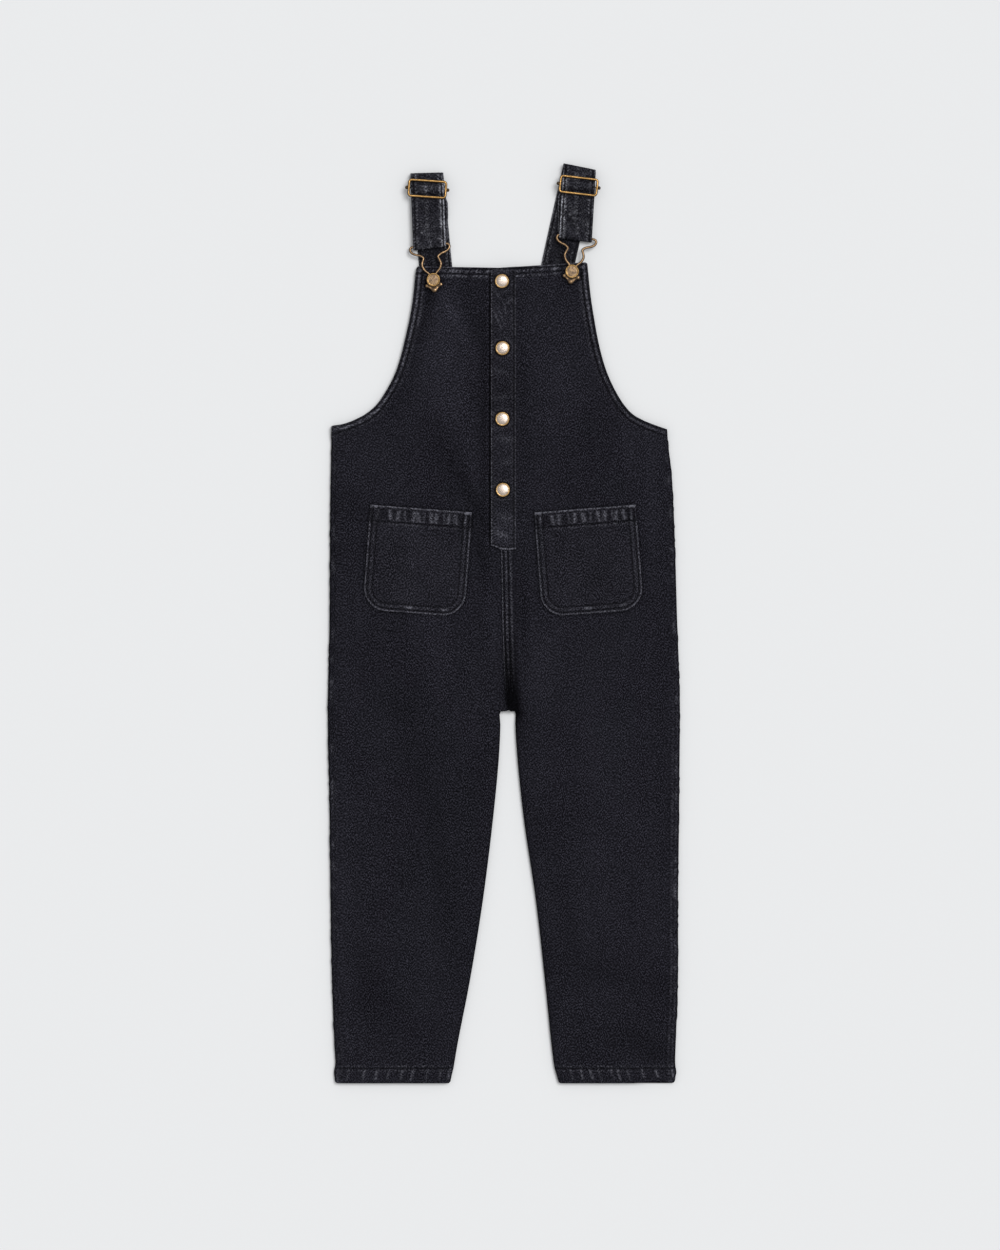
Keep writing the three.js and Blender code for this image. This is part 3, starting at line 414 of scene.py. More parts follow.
def sweep(name, rings, marks, material):
    # A closed section carried along a path: rings is (path, section, 3).
    rows, columns = rings.shape[:2]
    faces = quadGrid(rows, columns, 0, True).tolist() + endFaces(rows, columns)
    return meshObject(name, rings.reshape(-1, 3), faces, marks, material)


def tubeRings(points, radius, sides, closed=False):
    # Round rings along a route of 3-D points.
    p = np.asarray(points, float)
    ahead, behind = np.roll(p, -1, 0), np.roll(p, 1, 0)
    if not closed:
        ahead[-1], behind[0] = p[-1], p[0]
    tangent = ahead - behind
    tangent /= np.linalg.norm(tangent, axis=1)[:, None]
    side = np.cross(tangent, [0, 0, 1.0])
    side /= np.linalg.norm(side, axis=1)[:, None]
    other = np.cross(side, tangent)
    angle = np.linspace(0, 2 * math.pi, sides, endpoint=False)
    radii = np.broadcast_to(np.asarray(radius, float), (len(p),))[:, None, None]
    cosine, sine = np.cos(angle)[None, :, None], np.sin(angle)[None, :, None]
    return p[:, None] + (side[:, None] * cosine + other[:, None] * sine) * radii


def tubeParts(points, radius, sides=14, closed=False):
    # Points and faces of a wire, to be joined with others.
    rings = tubeRings(points, radius, sides, closed)
    rest = loopFaces if closed else endFaces
    faces = quadGrid(len(rings), sides, 0, True).tolist() + rest(len(rings), sides)
    return rings.reshape(-1, 3), faces


def latheParts(profile, sides=48):
    # A turned piece from (radius, height) rows that start and end on the axis.
    rows = np.array(profile, float)
    angle = np.linspace(0, 2 * math.pi, sides, endpoint=False)
    ringRows = rows[1:-1]
    x = ringRows[:, 0, None] * np.cos(angle)
    y = ringRows[:, 0, None] * np.sin(angle)
    z = np.repeat(ringRows[:, 1, None], sides, 1)
    points = np.stack([x, y, z], -1).reshape(-1, 3)
    faces = quadGrid(len(ringRows), sides, 0, True).tolist()
    low, high = len(points), len(points) + 1
    points = np.vstack([points, [0, 0, rows[0, 1]], [0, 0, rows[-1, 1]]])
    last = (len(ringRows) - 1) * sides
    for j in range(sides):
        k = (j + 1) % sides
        faces.append([low, k, j])
        faces.append([high, last + j, last + k])
    return points, faces


def joinParts(parts):
    points, faces, start = [], [], 0
    for partPoints, partFaces in parts:
        points.append(partPoints)
        faces += [[start + v for v in face] for face in partFaces]
        start += len(partPoints)
    return np.concatenate(points), faces


def turned(points, turn, x, up, z=0.0):
    # Local millimetres, turned about z and moved to a place on the garment.
    c, s = math.cos(turn), math.sin(turn)
    p = np.asarray(points, float)
    return toWorld(x + p[:, 0] * c - p[:, 1] * s, up + p[:, 0] * s + p[:, 1] * c, z + p[:, 2])


# Stitches: short lengths of thread that dip into the cloth at both ends

thread = {
    "stitch": 2.2,
    "gap": 1.0,
    "radius": 0.28,
    "sides": 6,
    "proud": 0.05,
    "step": 0.25,  # of the points along a row
    "share": [-0.5, -0.40, -0.15, 0.15, 0.40, 0.5],  # along one stitch, with its lift and size
    "lift": [-0.42, -0.02, 0.10, 0.10, -0.02, -0.42],
    "size": [0.45, 0.9, 1.0, 1.0, 0.9, 0.45],
}


def stitchParts(route):
    # route: 3-D points in mm on the cloth's face; each stitch takes a short stretch of it.
    p = alongLine(route, thread["step"])
    pitch = thread["stitch"] + thread["gap"]
    total = (len(p) - 1) * thread["step"]
    count = int(total // pitch)
    if count < 1:
        return []
    start = (total - count * pitch + thread["gap"]) / 2
    share, lift = np.array(thread["share"]), np.array(thread["lift"])
    size = np.array(thread["size"]) * thread["radius"]
    middles = start + thread["stitch"] / 2 + pitch * np.arange(count)
    at = np.clip(middles[:, None] + share * thread["stitch"], 0, total) / thread["step"]
    index = np.arange(len(p))
    line = np.stack([np.interp(at, index, p[:, k]) for k in range(3)], -1)
    line[..., 2] += lift + thread["proud"]
    return [tubeParts(one, size, thread["sides"]) for one in line]


def stitches(name, routes, material):
    parts = [part for route in routes for part in stitchParts(route)]
    points, faces = joinParts(parts)
    world = toWorld(points[:, 0], points[:, 1], points[:, 2])
    piece = meshObject(name, world, faces, None, material)
    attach(piece, "root")
    return piece


def onFace(line, face):
    # Lifts a flat route of (x, up) onto a face.
    line = alongLine(line, 0.6)
    return np.column_stack([line, face(line[:, 0], line[:, 1])])


def clothPiece(piece, node):
    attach(piece, "root")
    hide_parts(node)


# Panels

# Columns of a panel beside its edges, in mm from them
edgeSteps = np.array([0, 0.3, 0.7, 1.2, 1.8, 2.4, 3.0, 3.6, 4.2, 4.8, 5.4, 6.0, 6.6, 7.6, 8.4, 9.2,
                      10.2, 11.4])


def stations(side, upper, rowStep, centreAbove=None):
    # The rows of a panel: where each meets the side edge and the centre edge.
    fine = 0.8 if rowStep < 3 else 3
    lowLevels = np.concatenate([np.arange(0, 22, fine), np.arange(22, 612, rowStep),
                                np.linspace(612, 621.5, 7)])
    rows = len(sections["up"])
    sideRows = edgeRows(sections, side + "Side", "up")
    centreRows = edgeRows(sections, side + "Centre", "centreUp")
    if centreAbove:
        centreRows = centreAbove(centreRows)
    dense = np.linspace(0, rows - 1, 4000)
    t = np.interp(lowLevels, throughRows(sideRows, dense)[:, 1], dense)
    low = (throughRows(sideRows, t), throughRows(centreRows, t), np.ones(len(t)))
    sideRows = upperEdge(upper, side)
    centreX = np.full(len(upper["up"]), centreRows[-1, 0])
    centreRows = np.stack([centreX, upper["centreUp"]], -1).astype(float)
    dense = np.linspace(0, len(upper["up"]) - 1, 2000)
    curve = throughRows(sideRows, dense)
    length = runAlong(curve)
    end = length[-1]
    levels = np.concatenate([np.arange(rowStep, end - 13, rowStep), np.arange(end - 13, end, fine),
                             [end]])
    t = np.interp(levels, length, dense)
    high = (throughRows(sideRows, t), throughRows(centreRows, t), np.zeros(len(t)))
    sideEdge, centreEdge, seam = (np.concatenate(pair) for pair in zip(low, high))
    inseam = 1 - smooth(sideEdge[:, 1], 354, 362)
    seam = seam * (1 - smooth(sideEdge[:, 1], 606, 621))
    return sideEdge, centreEdge, seam, inseam


def panelPoints(side, upper, rowStep, columnCount, steps, centreSteps, centreAbove=None):
    sideEdge, centreEdge, seam, inseam = stations(side, upper, rowStep, centreAbove)
    run = centreEdge - sideEdge
    length = np.linalg.norm(run, axis=1)
    across = run / length[:, None]
    tangent = np.gradient(sideEdge, axis=0)
    tangent /= np.linalg.norm(tangent, axis=1)[:, None]
    slant = np.clip(np.abs(across[:, 0] * tangent[:, 1] - across[:, 1] * tangent[:, 0]), 0.45, 1)
    slant = mix(slant, 1, seam)
    fromSide = steps[None] / slant[:, None]
    fromCentre = np.broadcast_to(centreSteps[None], (len(length), len(centreSteps)))
    share = np.linspace(0, 1, columnCount + 2)[1:-1]
    middle = fromSide[:, -1:] + (length[:, None] - fromSide[:, -1:] - fromCentre[:, -1:]) * share[None]
    outer = np.concatenate([fromSide, middle, length[:, None] - fromCentre[:, ::-1]], 1)
    roll = cloth["sideRoll"]
    seamShare = np.clip(1 - outer / roll, 0, 1)
    inseamShare = np.clip(1 - (length[:, None] - outer) / roll, 0, 1)
    rise = 1 - seam[:, None] * (1 - np.sqrt(1 - seamShare**2))
    rise = np.minimum(rise, 1 - inseam[:, None] * (1 - np.sqrt(1 - inseamShare**2)))
    shift = cloth["thickness"] * (seam[:, None] * seamShare - inseam[:, None] * inseamShare)

    def place(distance):
        return sideEdge[:, None] + across[:, None] * distance[..., None]

    edges = {
        "side": outer, "centre": length[:, None] - outer, "rise": rise,
        "seam": np.broadcast_to(seam[:, None], outer.shape),
        "inseam": np.broadcast_to(inseam[:, None], outer.shape),
        "run": runAlong(sideEdge)[:, None],
    }
    return place(outer), place(outer + shift), edges


# How the looks bend the cut: mm
trim = {
    "legCorner": 3.0,
    "bibCorner": 2.8,
    "hemLift": 1.0,
    "leftPull": 2.6,
    "underarm": 3.0,
    "sideWaver": 0.5,
}


def rounding(distance, corner):
    # How far a corner of that radius draws the edge in.
    depth = np.clip(corner - distance, 0, corner)
    return corner - np.sqrt(np.clip(corner**2 - depth**2, 0, None))


def hemShape(side, panel, x, up, edges):
    # Rounded corners of a leg and of the bib, the left front hem pulled up towards its side,
    # and the right underarm's point.
    lift = rounding(np.minimum(edges["side"], edges["centre"]), trim["legCorner"]) + trim["hemLift"]
    if panel == "front" and side == "left":
        lift = lift + trim["leftPull"] * bump(x, 146, 13)
    drop = rounding(edges["side"], trim["bibCorner"]) * smooth(up, 768, 776)
    point = trim["underarm"] * bump(x, -164, 9) * bump(up, 621.5, 8)
    return up + (1 - smooth(up, 0, cloth["hemDepth"])) * lift - drop + point


def toPocket(side, x, up):
    # Distance out from the edge of the pocket that lies on a front.
    a, depth = pocketLocal(side, x, up)
    return np.maximum(-toPocketEdge(a, depth), -depth)


# Where the fronts are rubbed pale: middle and width of each line, in mm from the named edge
rubbed = {
    "armRidge": (3.7, 1.35),
    "armInner": (8.9, 1.4),
    "armBeads": (3.4, 2.0),
    "topRidge": (3.4, 2.0),
    "topInner": (8.8, 1.3),
    "topRim": (0.5, 0.8),
    "hemInner": (17.2, 0.8),
    "sidePatches": (3.4, 1.6),
    "sideOuter": (2.8, 1.0),
    "sideInner": (6.7, 1.1),
    "lapRim": (0.5, 0.8),
    "lapRidge": (4.5, 1.2),
    "lapInner": (8.9, 0.9),
}
# Painted shade in the grooves and beside the edges, in the same way, with the share of the colour that goes
hollows = {
    "arm": ((6.3, 1.0, 0.34), (1.8, 0.6, 0.22)),
    "top": ((1.9, 0.8, 0.55), (6.2, 0.9, 0.14)),
    "lap": ((2.1, 0.8, 0.40), (6.6, 0.9, 0.40), (11.8, 1.8, 0.2)),
}
bibTacks = ((-78.5, 774.0), (75.0, 775.0))


def hollow(edge, distance):
    return sum(share * bump(distance, middle, width) for middle, width, share in hollows[edge])


def frontWear(side, x, up, edges, arm, top):
    # Dye rubs off folds of turned edges, puckers and seams.
    patchy = 0.6 + 0.4 * softNoise(x, up, 5, 21)
    small = np.clip(softNoise(x, up, 2.6, 23), 0, 1)
    upper = smooth(up, 640, 740)
    flecks = np.clip(softNoise(x, up, 2.2, 25) * 1.6, -0.4, 1.2)
    beads = np.clip(2.2 * softNoise(x, up, 1.7, 33) - 0.1, 0, 1)
    wear = (0.20 + 0.26 * upper) * bump(arm, *rubbed["armRidge"]) * (patchy + 0.5 * flecks)
    wear += (0.03 + 0.11 * upper) * bump(arm, *rubbed["armInner"]) * (patchy + 0.5 * flecks)
    wear = wear * (1 - 0.5 * smooth(-arm, -12, 0) * (1 - upper) * (1 - beads))
    wear += 0.62 * beads * bump(arm, *rubbed["armBeads"]) * smooth(-x, 96, 128)
    wear += 0.16 * beads * bump(arm, 3.7, 1.6)
    slant = np.clip(1.6 * softNoise((x + 0.7 * top) * 1.2, up * 0.35, 2.2, 24), -0.1, 1)
    wear += 0.55 * bump(top, *rubbed["topRidge"]) * slant
    wear += 0.50 * bump(top, *rubbed["topInner"]) * (0.5 * slant + 0.5 * small)
    wear += 0.80 * bump(top, *rubbed["topRim"]) * smooth(np.abs(x), 30, 36) * patchy
    wear += 0.85 * np.clip(hemRoping(side, x, up), 0, None) * (0.5 + 0.5 * patchy)
    wear += 0.14 * small * bump(up, *rubbed["hemInner"])
    wear += 0.25 * np.exp(-np.clip(up, 0, 30) / 0.7) * small
    patches = np.clip(softNoise(x * 0.5, up, 6.5, 29), 0, 1)
    wear += 0.34 * edges["seam"] * bump(edges["side"], *rubbed["sidePatches"]) * patches
    sideRows = 0.15 * bump(edges["side"], *rubbed["sideOuter"])
    sideRows += 0.17 * bump(edges["side"], *rubbed["sideInner"])
    onLeg = np.maximum(lowerLeg(side, up), 0.5 * small)
    wear += edges["seam"] * sideRows * onLeg * (0.7 * patchy + 0.6 * flecks)
    for tackX, tackUp in bibTacks:
        wear += 1.0 * bump(np.hypot(x - tackX, up - tackUp), 0, 1.2)
    if side == "left":
        fromEdge, folded = edges["centre"], smooth(up, 356, 390)
        wear += folded * 0.50 * bump(fromEdge, *rubbed["lapRim"]) * (0.3 + 0.7 * patchy)
        wear += folded * 0.30 * bump(fromEdge, *rubbed["lapRidge"]) * patchy
        wear += folded * 0.26 * bump(fromEdge, *rubbed["lapInner"]) * patchy
        wear = wear * (1 - 0.75 * bump(up, 356, 46) * bump(fromEdge, 3, 10))
    return np.clip(wear, 0, 1)


def lowerLeg(side, up):
    return (1 - smooth(up, 280, 400)) * (1 if side == "left" else 0.25)


def frontShade(side, x, up, edges, arm, top):
    # Painted shade: darker in the grooves, along the rolled edges and beside what lies on top; the wash marks add
    # stretches that are partly wash and partly painted fold shade and light.
    seam, fromSide = edges["seam"], edges["side"]
    shade = creases(washAndFoldShade, x, up, 2) + 0.05 * softNoise(x, up, 24, 27)
    # Painted shade along the rolled edges and in the grooves beside the rows.
    shade -= 0.28 * np.exp(-arm / 0.7) + hollow("arm", arm) + hollow("top", top)
    shade -= 0.60 * (seam * np.exp(-fromSide / 1.2) + edges["inseam"] * np.exp(-edges["centre"] / 1.2))
    besideRows = bump(fromSide, 4.8, 0.9) + lowerLeg(side, up) * bump(fromSide, 8.8, 0.9)
    shade -= 0.22 * seam * besideRows + 0.05 * bump(up, cloth["hemRows"][0], 1.0)
    # Painted shadows beside the pocket's edge and round the clasp under the bib button.
    shade -= 0.42 * bump(toPocket(side, x, up), 0.7, 1.1)
    bx, bup = fitting[side]["button"]
    shade -= 0.5 * bump(np.hypot(x - bx, up - bup + 2.5), 8.4, 2.4)
    # Painted shadow under the placket's lifted free edge, with a paler line beside it.
    if side == "right":
        besidePlacket = smooth(up, 504, 512) * (1 - smooth(up, 768, 773))
        shade += besidePlacket * (0.22 * bump(x, -15.6, 1.1) - 0.80 * bump(x, -13.1, 0.8))
    else:
        # Painted shadow where the legs meet at the crotch, and painted shade in the grooves of the lapped seam.
        shade -= 0.34 * bump(up, 372, 40) * bump(edges["centre"], 4, 9)
        shade -= smooth(up, 356, 390) * hollow("lap", edges["centre"])
    return np.clip(shade, -0.85, 0.7)


def frontMarks(side, x, up, edges):
    arm, top = toArmhole(x, up), toLine(bibTop, x, up)
    armRun = np.broadcast_to(edges["run"], x.shape)
    rows = [(np.abs(arm - inset), armRun) for inset in cloth["armholeRows"]]
    rows += [(np.abs(top - inset), x) for inset in cloth["bibRows"]]
    rows += [(np.abs(up - level), x) for level in cloth["hemRows"]]
    if side == "left":
        away = farFromRow * (1 - smooth(up, 356, 390))
        rows += [(np.abs(edges["centre"] - inset) + away, up) for inset in cloth["seamRows"]]
    marks = nearestRow(*rows)
    upper = smooth(up, 640, 740)
    pull = 0.45 + 0.55 * np.maximum(upper, 1 - smooth(up, 380, 520))
    pull = pull * (1 - 0.6 * bump(arm, 8.7, 2.4)) * (1 - 0.5 * bump(up, cloth["hemRows"][0], 4))
    pull = np.clip(pull + 0.5 * smooth(-x, 96, 128) * bump(arm, 3, 5) * (1 - upper), 0, 1)
    marks.update(pull=pull, wear=frontWear(side, x, up, edges, arm, top),
                 shade=frontShade(side, x, up, edges, arm, top))
    return marks


frontPiece = {
    "rowStep": 2.6,
    "columns": 76,
    "gapSteps": np.array([14, 17, 19, 20.4, 21.2, 21.8, 22.4, 23.0, 23.6, 24.4, 25.6, 27.4]),  # beside the placket
    "flat": (0.182, 0.781),
    "area": 0.117,
}


def frontPanel(side, material):
    centreSteps = np.concatenate([edgeSteps, frontPiece["gapSteps"]]) if side == "right" else edgeSteps
    outer, inner, edges = panelPoints(side, bib, frontPiece["rowStep"], frontPiece["columns"],
                                      edgeSteps, centreSteps)
    x, up = outer[..., 0], outer[..., 1]
    plain = mix(cloth["seamEdge"], frontPlain(side, x, up), edges["rise"])
    z = plain + frontBands(side, x, up) * edges["rise"]
    if side == "left":
        # The lapped edge is folded: it has a soft ridge and a sunk double row of stitches.
        above = smooth(up, 356, 372)
        fromEdge = edges["centre"]
        z += above * (-0.45 * np.exp(-fromEdge / 0.6) + 0.30 * bump(fromEdge, 4.8, 1.6))
        for row in cloth["seamRows"]:
            z -= above * 0.36 * bump(fromEdge, row, 0.7)
    # The side seam wavers a little along its puckers.
    x = x + 0.5 * edges["seam"] * np.exp(-edges["side"] / 5) * softNoise(up * 0, up, 4.2, 35)
    outerPoints = toWorld(x, hemShape(side, "front", x, up, edges), z)
    xi, ui = inner[..., 0], inner[..., 1]
    under = mix(cloth["seamEdge"], frontPlain(side, xi, ui) - cloth["thickness"], edges["rise"])
    innerPoints = toWorld(xi, hemShape(side, "front", xi, ui, edges), under)
    return shell("cloth_front_" + side, outerPoints, innerPoints, frontMarks(side, x, up, edges),
                 material)


def backCentre(side):
    # The centre-back seam swings with the crotch and runs straight from the seat up.
    def change(rows):
        rows = rows.copy()
        for row in rows:
            if row[1] > cloth["crotch"]:
                seam = 4 * (1 - float(smooth(row[1], cloth["crotch"], 480)))
                away = cloth["seamGap"] / 2 + (3.2 if row[1] < 355 else 0)
                row[0] = seam - away if side == "right" else seam + away
        return rows
    return change


backPiece = {"rowStep": 4.5, "columns": 34, "flat": (0.176, 0.706), "area": 0.104}


def backPanel(side, material):
    steps = edgeSteps[::2]
    outer, inner, edges = panelPoints(side, yoke, backPiece["rowStep"], backPiece["columns"], steps,
                                      steps,
                                      backCentre(side))
    x, up = outer[..., 0], outer[..., 1]
    curl = cloth["backCurl"] * (1 - edges["rise"])
    bottom = toWorld(x, hemShape(side, "back", x, up, edges), curl)
    raised = cloth["bandRaise"] * (1 - smooth(up, cloth["hemDepth"] - 1.6, cloth["hemDepth"] + 0.4))
    top = toWorld(x, hemShape(side, "back", x, up, edges),
                  curl + cloth["thickness"] + raised * edges["rise"])
    wear = np.clip(0.3 * bump(up, 17.6, 1.2) + 0.2 * edges["seam"] * np.exp(-edges["side"] / 3), 0, 1)
    # Paler and darker stretches: partly wash tone, partly painted fold shade and light.
    shade = creases(washAndFoldShade, x, up, 2) * 0.6
    marks = {"wear": wear, "shade": shade,
             **nearestRow((np.abs(up - 16.5), x), (edges["centre"] - 3.0, up))}
    return shell("cloth_back_" + side, bottom, top, marks, material)


print("mesh makers ready")


# Placket

frontButton = {
    "rows": [(0, 0), (3.0, 0), (3.0, 0.5), (5.9, 0.55), (6.5, 0.75), (6.78, 1.15), (6.8, 1.45),
             (6.65, 1.85),
             (6.35, 2.12), (6.0, 2.22), (5.7, 2.16), (5.45, 2.02), (5.2, 2.06), (4.9, 2.25),
             (4.3, 2.5), (3.4, 2.72),
             (2.2, 2.9), (1.0, 2.98), (0, 3.0)],
    "places": [(-1.9, 761.6), (-1.4, 698.0), (-1.5, 631.0), (-1.0, 563.8)],
}

placket = {
    "half": 11.9,
    "middle": -0.5,
    "lowEnd": 507,
    "slant": 3.6,
    "topEnd": 772.9,
    "stitchInset": 1.6,
    "joinInset": 1.8,
    "flat": (0.0238, 0.266),
}

# Creases of the placket: x, up, turn, length, width, height
placketCreases = [
    (-4.6, 722, 24, 24, 0.9, 0.34), (-2.6, 729, 20, 16, 0.8, 0.22), (6.6, 743, -62, 8, 1.9, 0.30),
    (-5.6, 748, 42, 9, 1.0, 0.24), (1.2, 735, 12, 14, 0.9, 0.20), (-1.0, 715, 20, 20, 2.2, -0.20),
    (2.0, 612, 80, 15, 3.0, 0.16), (-2.5, 652, -74, 15, 2.6, 0.14), (1.5, 538, 82, 17, 3.2, 0.16),
    (-3.0, 522, 74, 13, 2.6, 0.16), (3.0, 590, -80, 14, 2.4, 0.12), (-3.0, 676, 70, 13, 2.2, 0.12),
]
# Paler and darker patches on it
placketMarks = [
    (0, 745, 0, 12, 9, -0.12), (-4, 726, 18, 24, 4, 0.14), (0, 610, 0, 18, 10, 0.16),
    (0, 655, 0, 24, 9, -0.10),
    (0, 580, 0, 16, 10, -0.10), (0, 545, 0, 20, 9, -0.06), (0, 522, 0, 32, 11, 0.50),
    (3, 682, 0, 20, 9, -0.08),
    (0, 597, 0, 14, 10, 0.10), (-2, 716, 0, 16, 10, 0.06),
]


def placketFace(x, up):
    under = frontPlain("left", x, up) + 0.5 * band(toLine(bibTop, x, up), cloth["bibBand"],
                                                   cloth["bibRows"])
    half = placket["half"]
    fromFree, fromJoin = x - placket["middle"] + half, half - x + placket["middle"]
    fromEnd = up - placket["lowEnd"] - placket["slant"] * smooth(-x, 0.5, half)
    z = under + cloth["seamGap"] + cloth["thickness"]
    z = z - 0.45 * np.exp(-np.clip(fromFree, 0, 30) / 0.6) - 0.5 * np.exp(-np.clip(fromJoin, 0, 30) / 1.1)
    z = z - 0.4 * np.exp(-np.clip(fromEnd, 0, 400) / 0.7)
    z = z - 0.22 * bump(fromFree, placket["stitchInset"], 0.6) - 0.26 * bump(fromJoin,
                                                                             placket["joinInset"], 0.8)
    z = z + creases(placketCreases, x, up, 2) * smooth(np.minimum(fromFree, fromJoin), 0.5, 3.5)
    ripple = 0.10 * softNoise(x, up, 3.2, 31) * bump(fromJoin, 3.5, 2.5)
    return z + 0.10 * softNoise(x, up, 9, 13) + ripple + 0.25


def placketPiece(material):
    half = placket["half"]
    columns = np.concatenate([-half + np.array([0, 0.3, 0.7, 1.2, 1.8, 2.4, 3.1]),
                              np.linspace(-7.5, 7.5, 15),
                              half - np.array([3.1, 2.4, 1.8, 1.2, 0.7, 0.3, 0])])
    levels = np.concatenate([placket["lowEnd"] + np.array([0, 0.4, 0.9, 1.5, 2.2, 3, 4]),
                             np.arange(512.2, 771, 1.2), [771.3, 772.0, 772.5, placket["topEnd"]]])
    x, up = np.meshgrid(columns + placket["middle"], levels)
    fromFree, fromJoin = x - placket["middle"] + half, half - x + placket["middle"]
    atEnd = 1 - smooth(up, placket["lowEnd"], 520)
    up = up + atEnd * placket["slant"] * smooth(-x, 0.5, half)
    up = up - 0.8 * (1 - smooth(np.minimum(fromFree, fromJoin), 0, 1.6)) * (smooth(up, 771,
                                                                                   placket["topEnd"]) - atEnd)
    top = placketFace(x, up)
    under = np.minimum(top - 0.7, frontFace("left", x, up) + 0.12)
    patchy = 0.55 + 0.45 * softNoise(x, up, 4.5, 41)
    small = np.clip(softNoise(x, up, 2.6, 43), 0, 1)
    fromEnd = up - placket["lowEnd"] - atEnd * placket["slant"] * smooth(-x, 0.5, half)
    wear = 0.62 * bump(fromFree, 1.0, 0.9) * (0.3 + 0.7 * patchy) + 0.16 * bump(fromJoin, 0.6, 0.9)
    wear += 0.30 * bump(fromJoin, 3.6, 0.9) * small * (0.4 + 0.6 * smooth(up, 690, 740))
    wear += 0.8 * bump(fromEnd, 0.9, 0.8) * atEnd + 0.9 * np.clip(creases(placketCreases, x, up, 2), 0, 1)
    wear += 0.5 * bump(up, 768, 2.0) * small + 0.2 * smooth(up, 770.5,
                                                            placket["topEnd"]) + 0.16 * small * bump(up, 521, 12)
    for bx, bup in frontButton["places"]:
        wear += 0.14 * bump(np.hypot(x - bx, up - bup), 9.6, 1.6) * patchy
    # Paler and darker patches, with painted shade in the join's groove, along the free edge, in the groove of the
    # bottom row and in a ring round each button.
    shade = creases(placketMarks, x, up, 2) + 0.10 * softNoise(x, up, 8, 45) - 0.25 * bump(fromJoin,
                                                                                           2.2, 0.8)
    shade -= 0.35 * np.exp(-fromFree / 0.5) + 0.35 * bump(fromEnd, 2.6, 0.9) * atEnd
    for bx, bup in frontButton["places"]:
        shade -= 0.55 * bump(np.hypot(x - bx, up - bup), 6.9, 1.3)
    marks = nearestRow((np.abs(fromFree - placket["stitchInset"]), up),
                       (np.abs(fromJoin - placket["joinInset"]), up),
                       (np.abs(fromEnd - 2.6), x), (np.abs(placket["topEnd"] - up - 6.4), x))
    marks.update(wear=np.clip(wear, 0, 1), shade=np.clip(shade, -0.85, 0.7),
                 pull=0.6 - 0.5 * smooth(fromFree, 2, 3))
    return shell("cloth_placket", toWorld(x, up, top), toWorld(x, up, under), marks, material)


def placketRoutes():
    free = placket["middle"] - placket["half"] + placket["stitchInset"]
    join = placket["middle"] + placket["half"] - placket["joinInset"]
    low = placket["lowEnd"]
    return [
        onFace([[free, 770], [free, low + 5]], placketFace),
        onFace([[join, 771], [join, low + 2]], placketFace),
        onFace([[free + 0.6, low + 5.6], [-0.5, low + 2.8], [join - 0.5, low + 2.6]], placketFace),
    ]


# Pockets

pocket = {
    "wide": 97.0,
    "deep": 99.6,
    "corner": 22.0,
    "mouthBand": 15.0,
    "swell": 0.7,
    "rows": (2.8, 7.6),  # how far in the two rows of stitches run
    "flat": (0.0968, 0.0968),
    "area": 0.0090,
}
pocketPlaces = {
    "right": {"x": -78.4, "top": 546.2, "turn": math.radians(-4.3)},
    "left": {"x": 76.8, "top": 546.2, "turn": math.radians(4.4)},
}
# Puckers of the turned mouth, as shares of the pocket's width
mouthPuckers = {
    "right": [-0.84, -0.60, -0.43, -0.31, -0.13, -0.05, 0.07, 0.20, 0.31, 0.46, 0.56, 0.68, 0.88],
    "left": [-0.88, -0.66, -0.52, -0.34, -0.21, -0.05, 0.10, 0.24, 0.38, 0.52, 0.60, 0.74, 0.90],
}


def pocketLocal(side, x, up):
    place = pocketPlaces[side]
    c, s = math.cos(place["turn"]), math.sin(place["turn"])
    dx, dy = x - place["x"], up - place["top"]
    return dx * c + dy * s, -(dy * c - dx * s)


def pocketWorld(side, a, depth):
    place = pocketPlaces[side]
    c, s = math.cos(place["turn"]), math.sin(place["turn"])
    return place["x"] + a * c + depth * s, place["top"] + a * s - depth * c


def toPocketEdge(a, depth):
    # Distance in from the sewn sides and bottom; corners are quarter circles.
    half, corner = pocket["wide"] / 2, pocket["corner"]
    dx = np.abs(a) - (half - corner)
    dy = depth - (pocket["deep"] - corner)
    outside = np.hypot(np.clip(dx, 0, None), np.clip(dy, 0, None)) + np.minimum(np.maximum(dx, dy), 0)
    return corner - outside


def pocketForm(side, a, depth):
    inward = np.clip(toPocketEdge(a, depth), 0, None)
    mouth = 0.8 * (1 - smooth(depth, pocket["mouthBand"] - 1.4, pocket["mouthBand"] + 0.5))
    z = pocket["swell"] * smooth(inward, 0, 16) + mouth * smooth(inward, 0, 2)
    z = z - 0.55 * np.exp(-inward / 0.55) - 0.45 * np.exp(-np.clip(depth, 0, 99) / 0.7)
    below = smooth(depth, 6, 14)
    for row in pocket["rows"]:
        z = z - 0.38 * bump(inward, row, 0.7) * np.maximum(below, 0.35)
    z = z - 0.34 * bump(depth, pocket["mouthBand"], 0.8) * smooth(inward, 0, 2)
    inside = smooth(depth, 2.0, 5.5) * (1 - smooth(depth, 11, 13.5)) * smooth(inward, 1, 3)
    for k, share in enumerate(mouthPuckers[side]):
        place = share * pocket["wide"] / 2 + (depth - 6) * (0.16 if k % 2 else -0.08)
        z = z + inside * (0.34 + 0.16 * ((k * 5) % 3)) * bump(a, place, 1.1)
    along = np.arctan2(depth - 40, a) * 46
    ring = bump(inward, 4.5, 2.2) * smooth(depth, 14, 22)
    z = z + ring * 0.20 * softNoise(along, inward * 0.3, 3.6, 51)
    return z + 0.12 * softNoise(a, depth, 13, 53) * smooth(inward, 4, 14)


def pocketFace(side, x, up):
    a, depth = pocketLocal(side, x, up)
    lift = cloth["seamGap"] + 0.1 + cloth["thickness"] - 0.1
    return frontPlain(side, x, up) + lift + pocketForm(side, a, depth)


def pocketHalf(depth):
    into = np.clip(depth - (pocket["deep"] - pocket["corner"]), 0, pocket["corner"])
    return pocket["wide"] / 2 - pocket["corner"] + np.sqrt(np.clip(pocket["corner"] ** 2 - into**2,
                                                                   0, None))


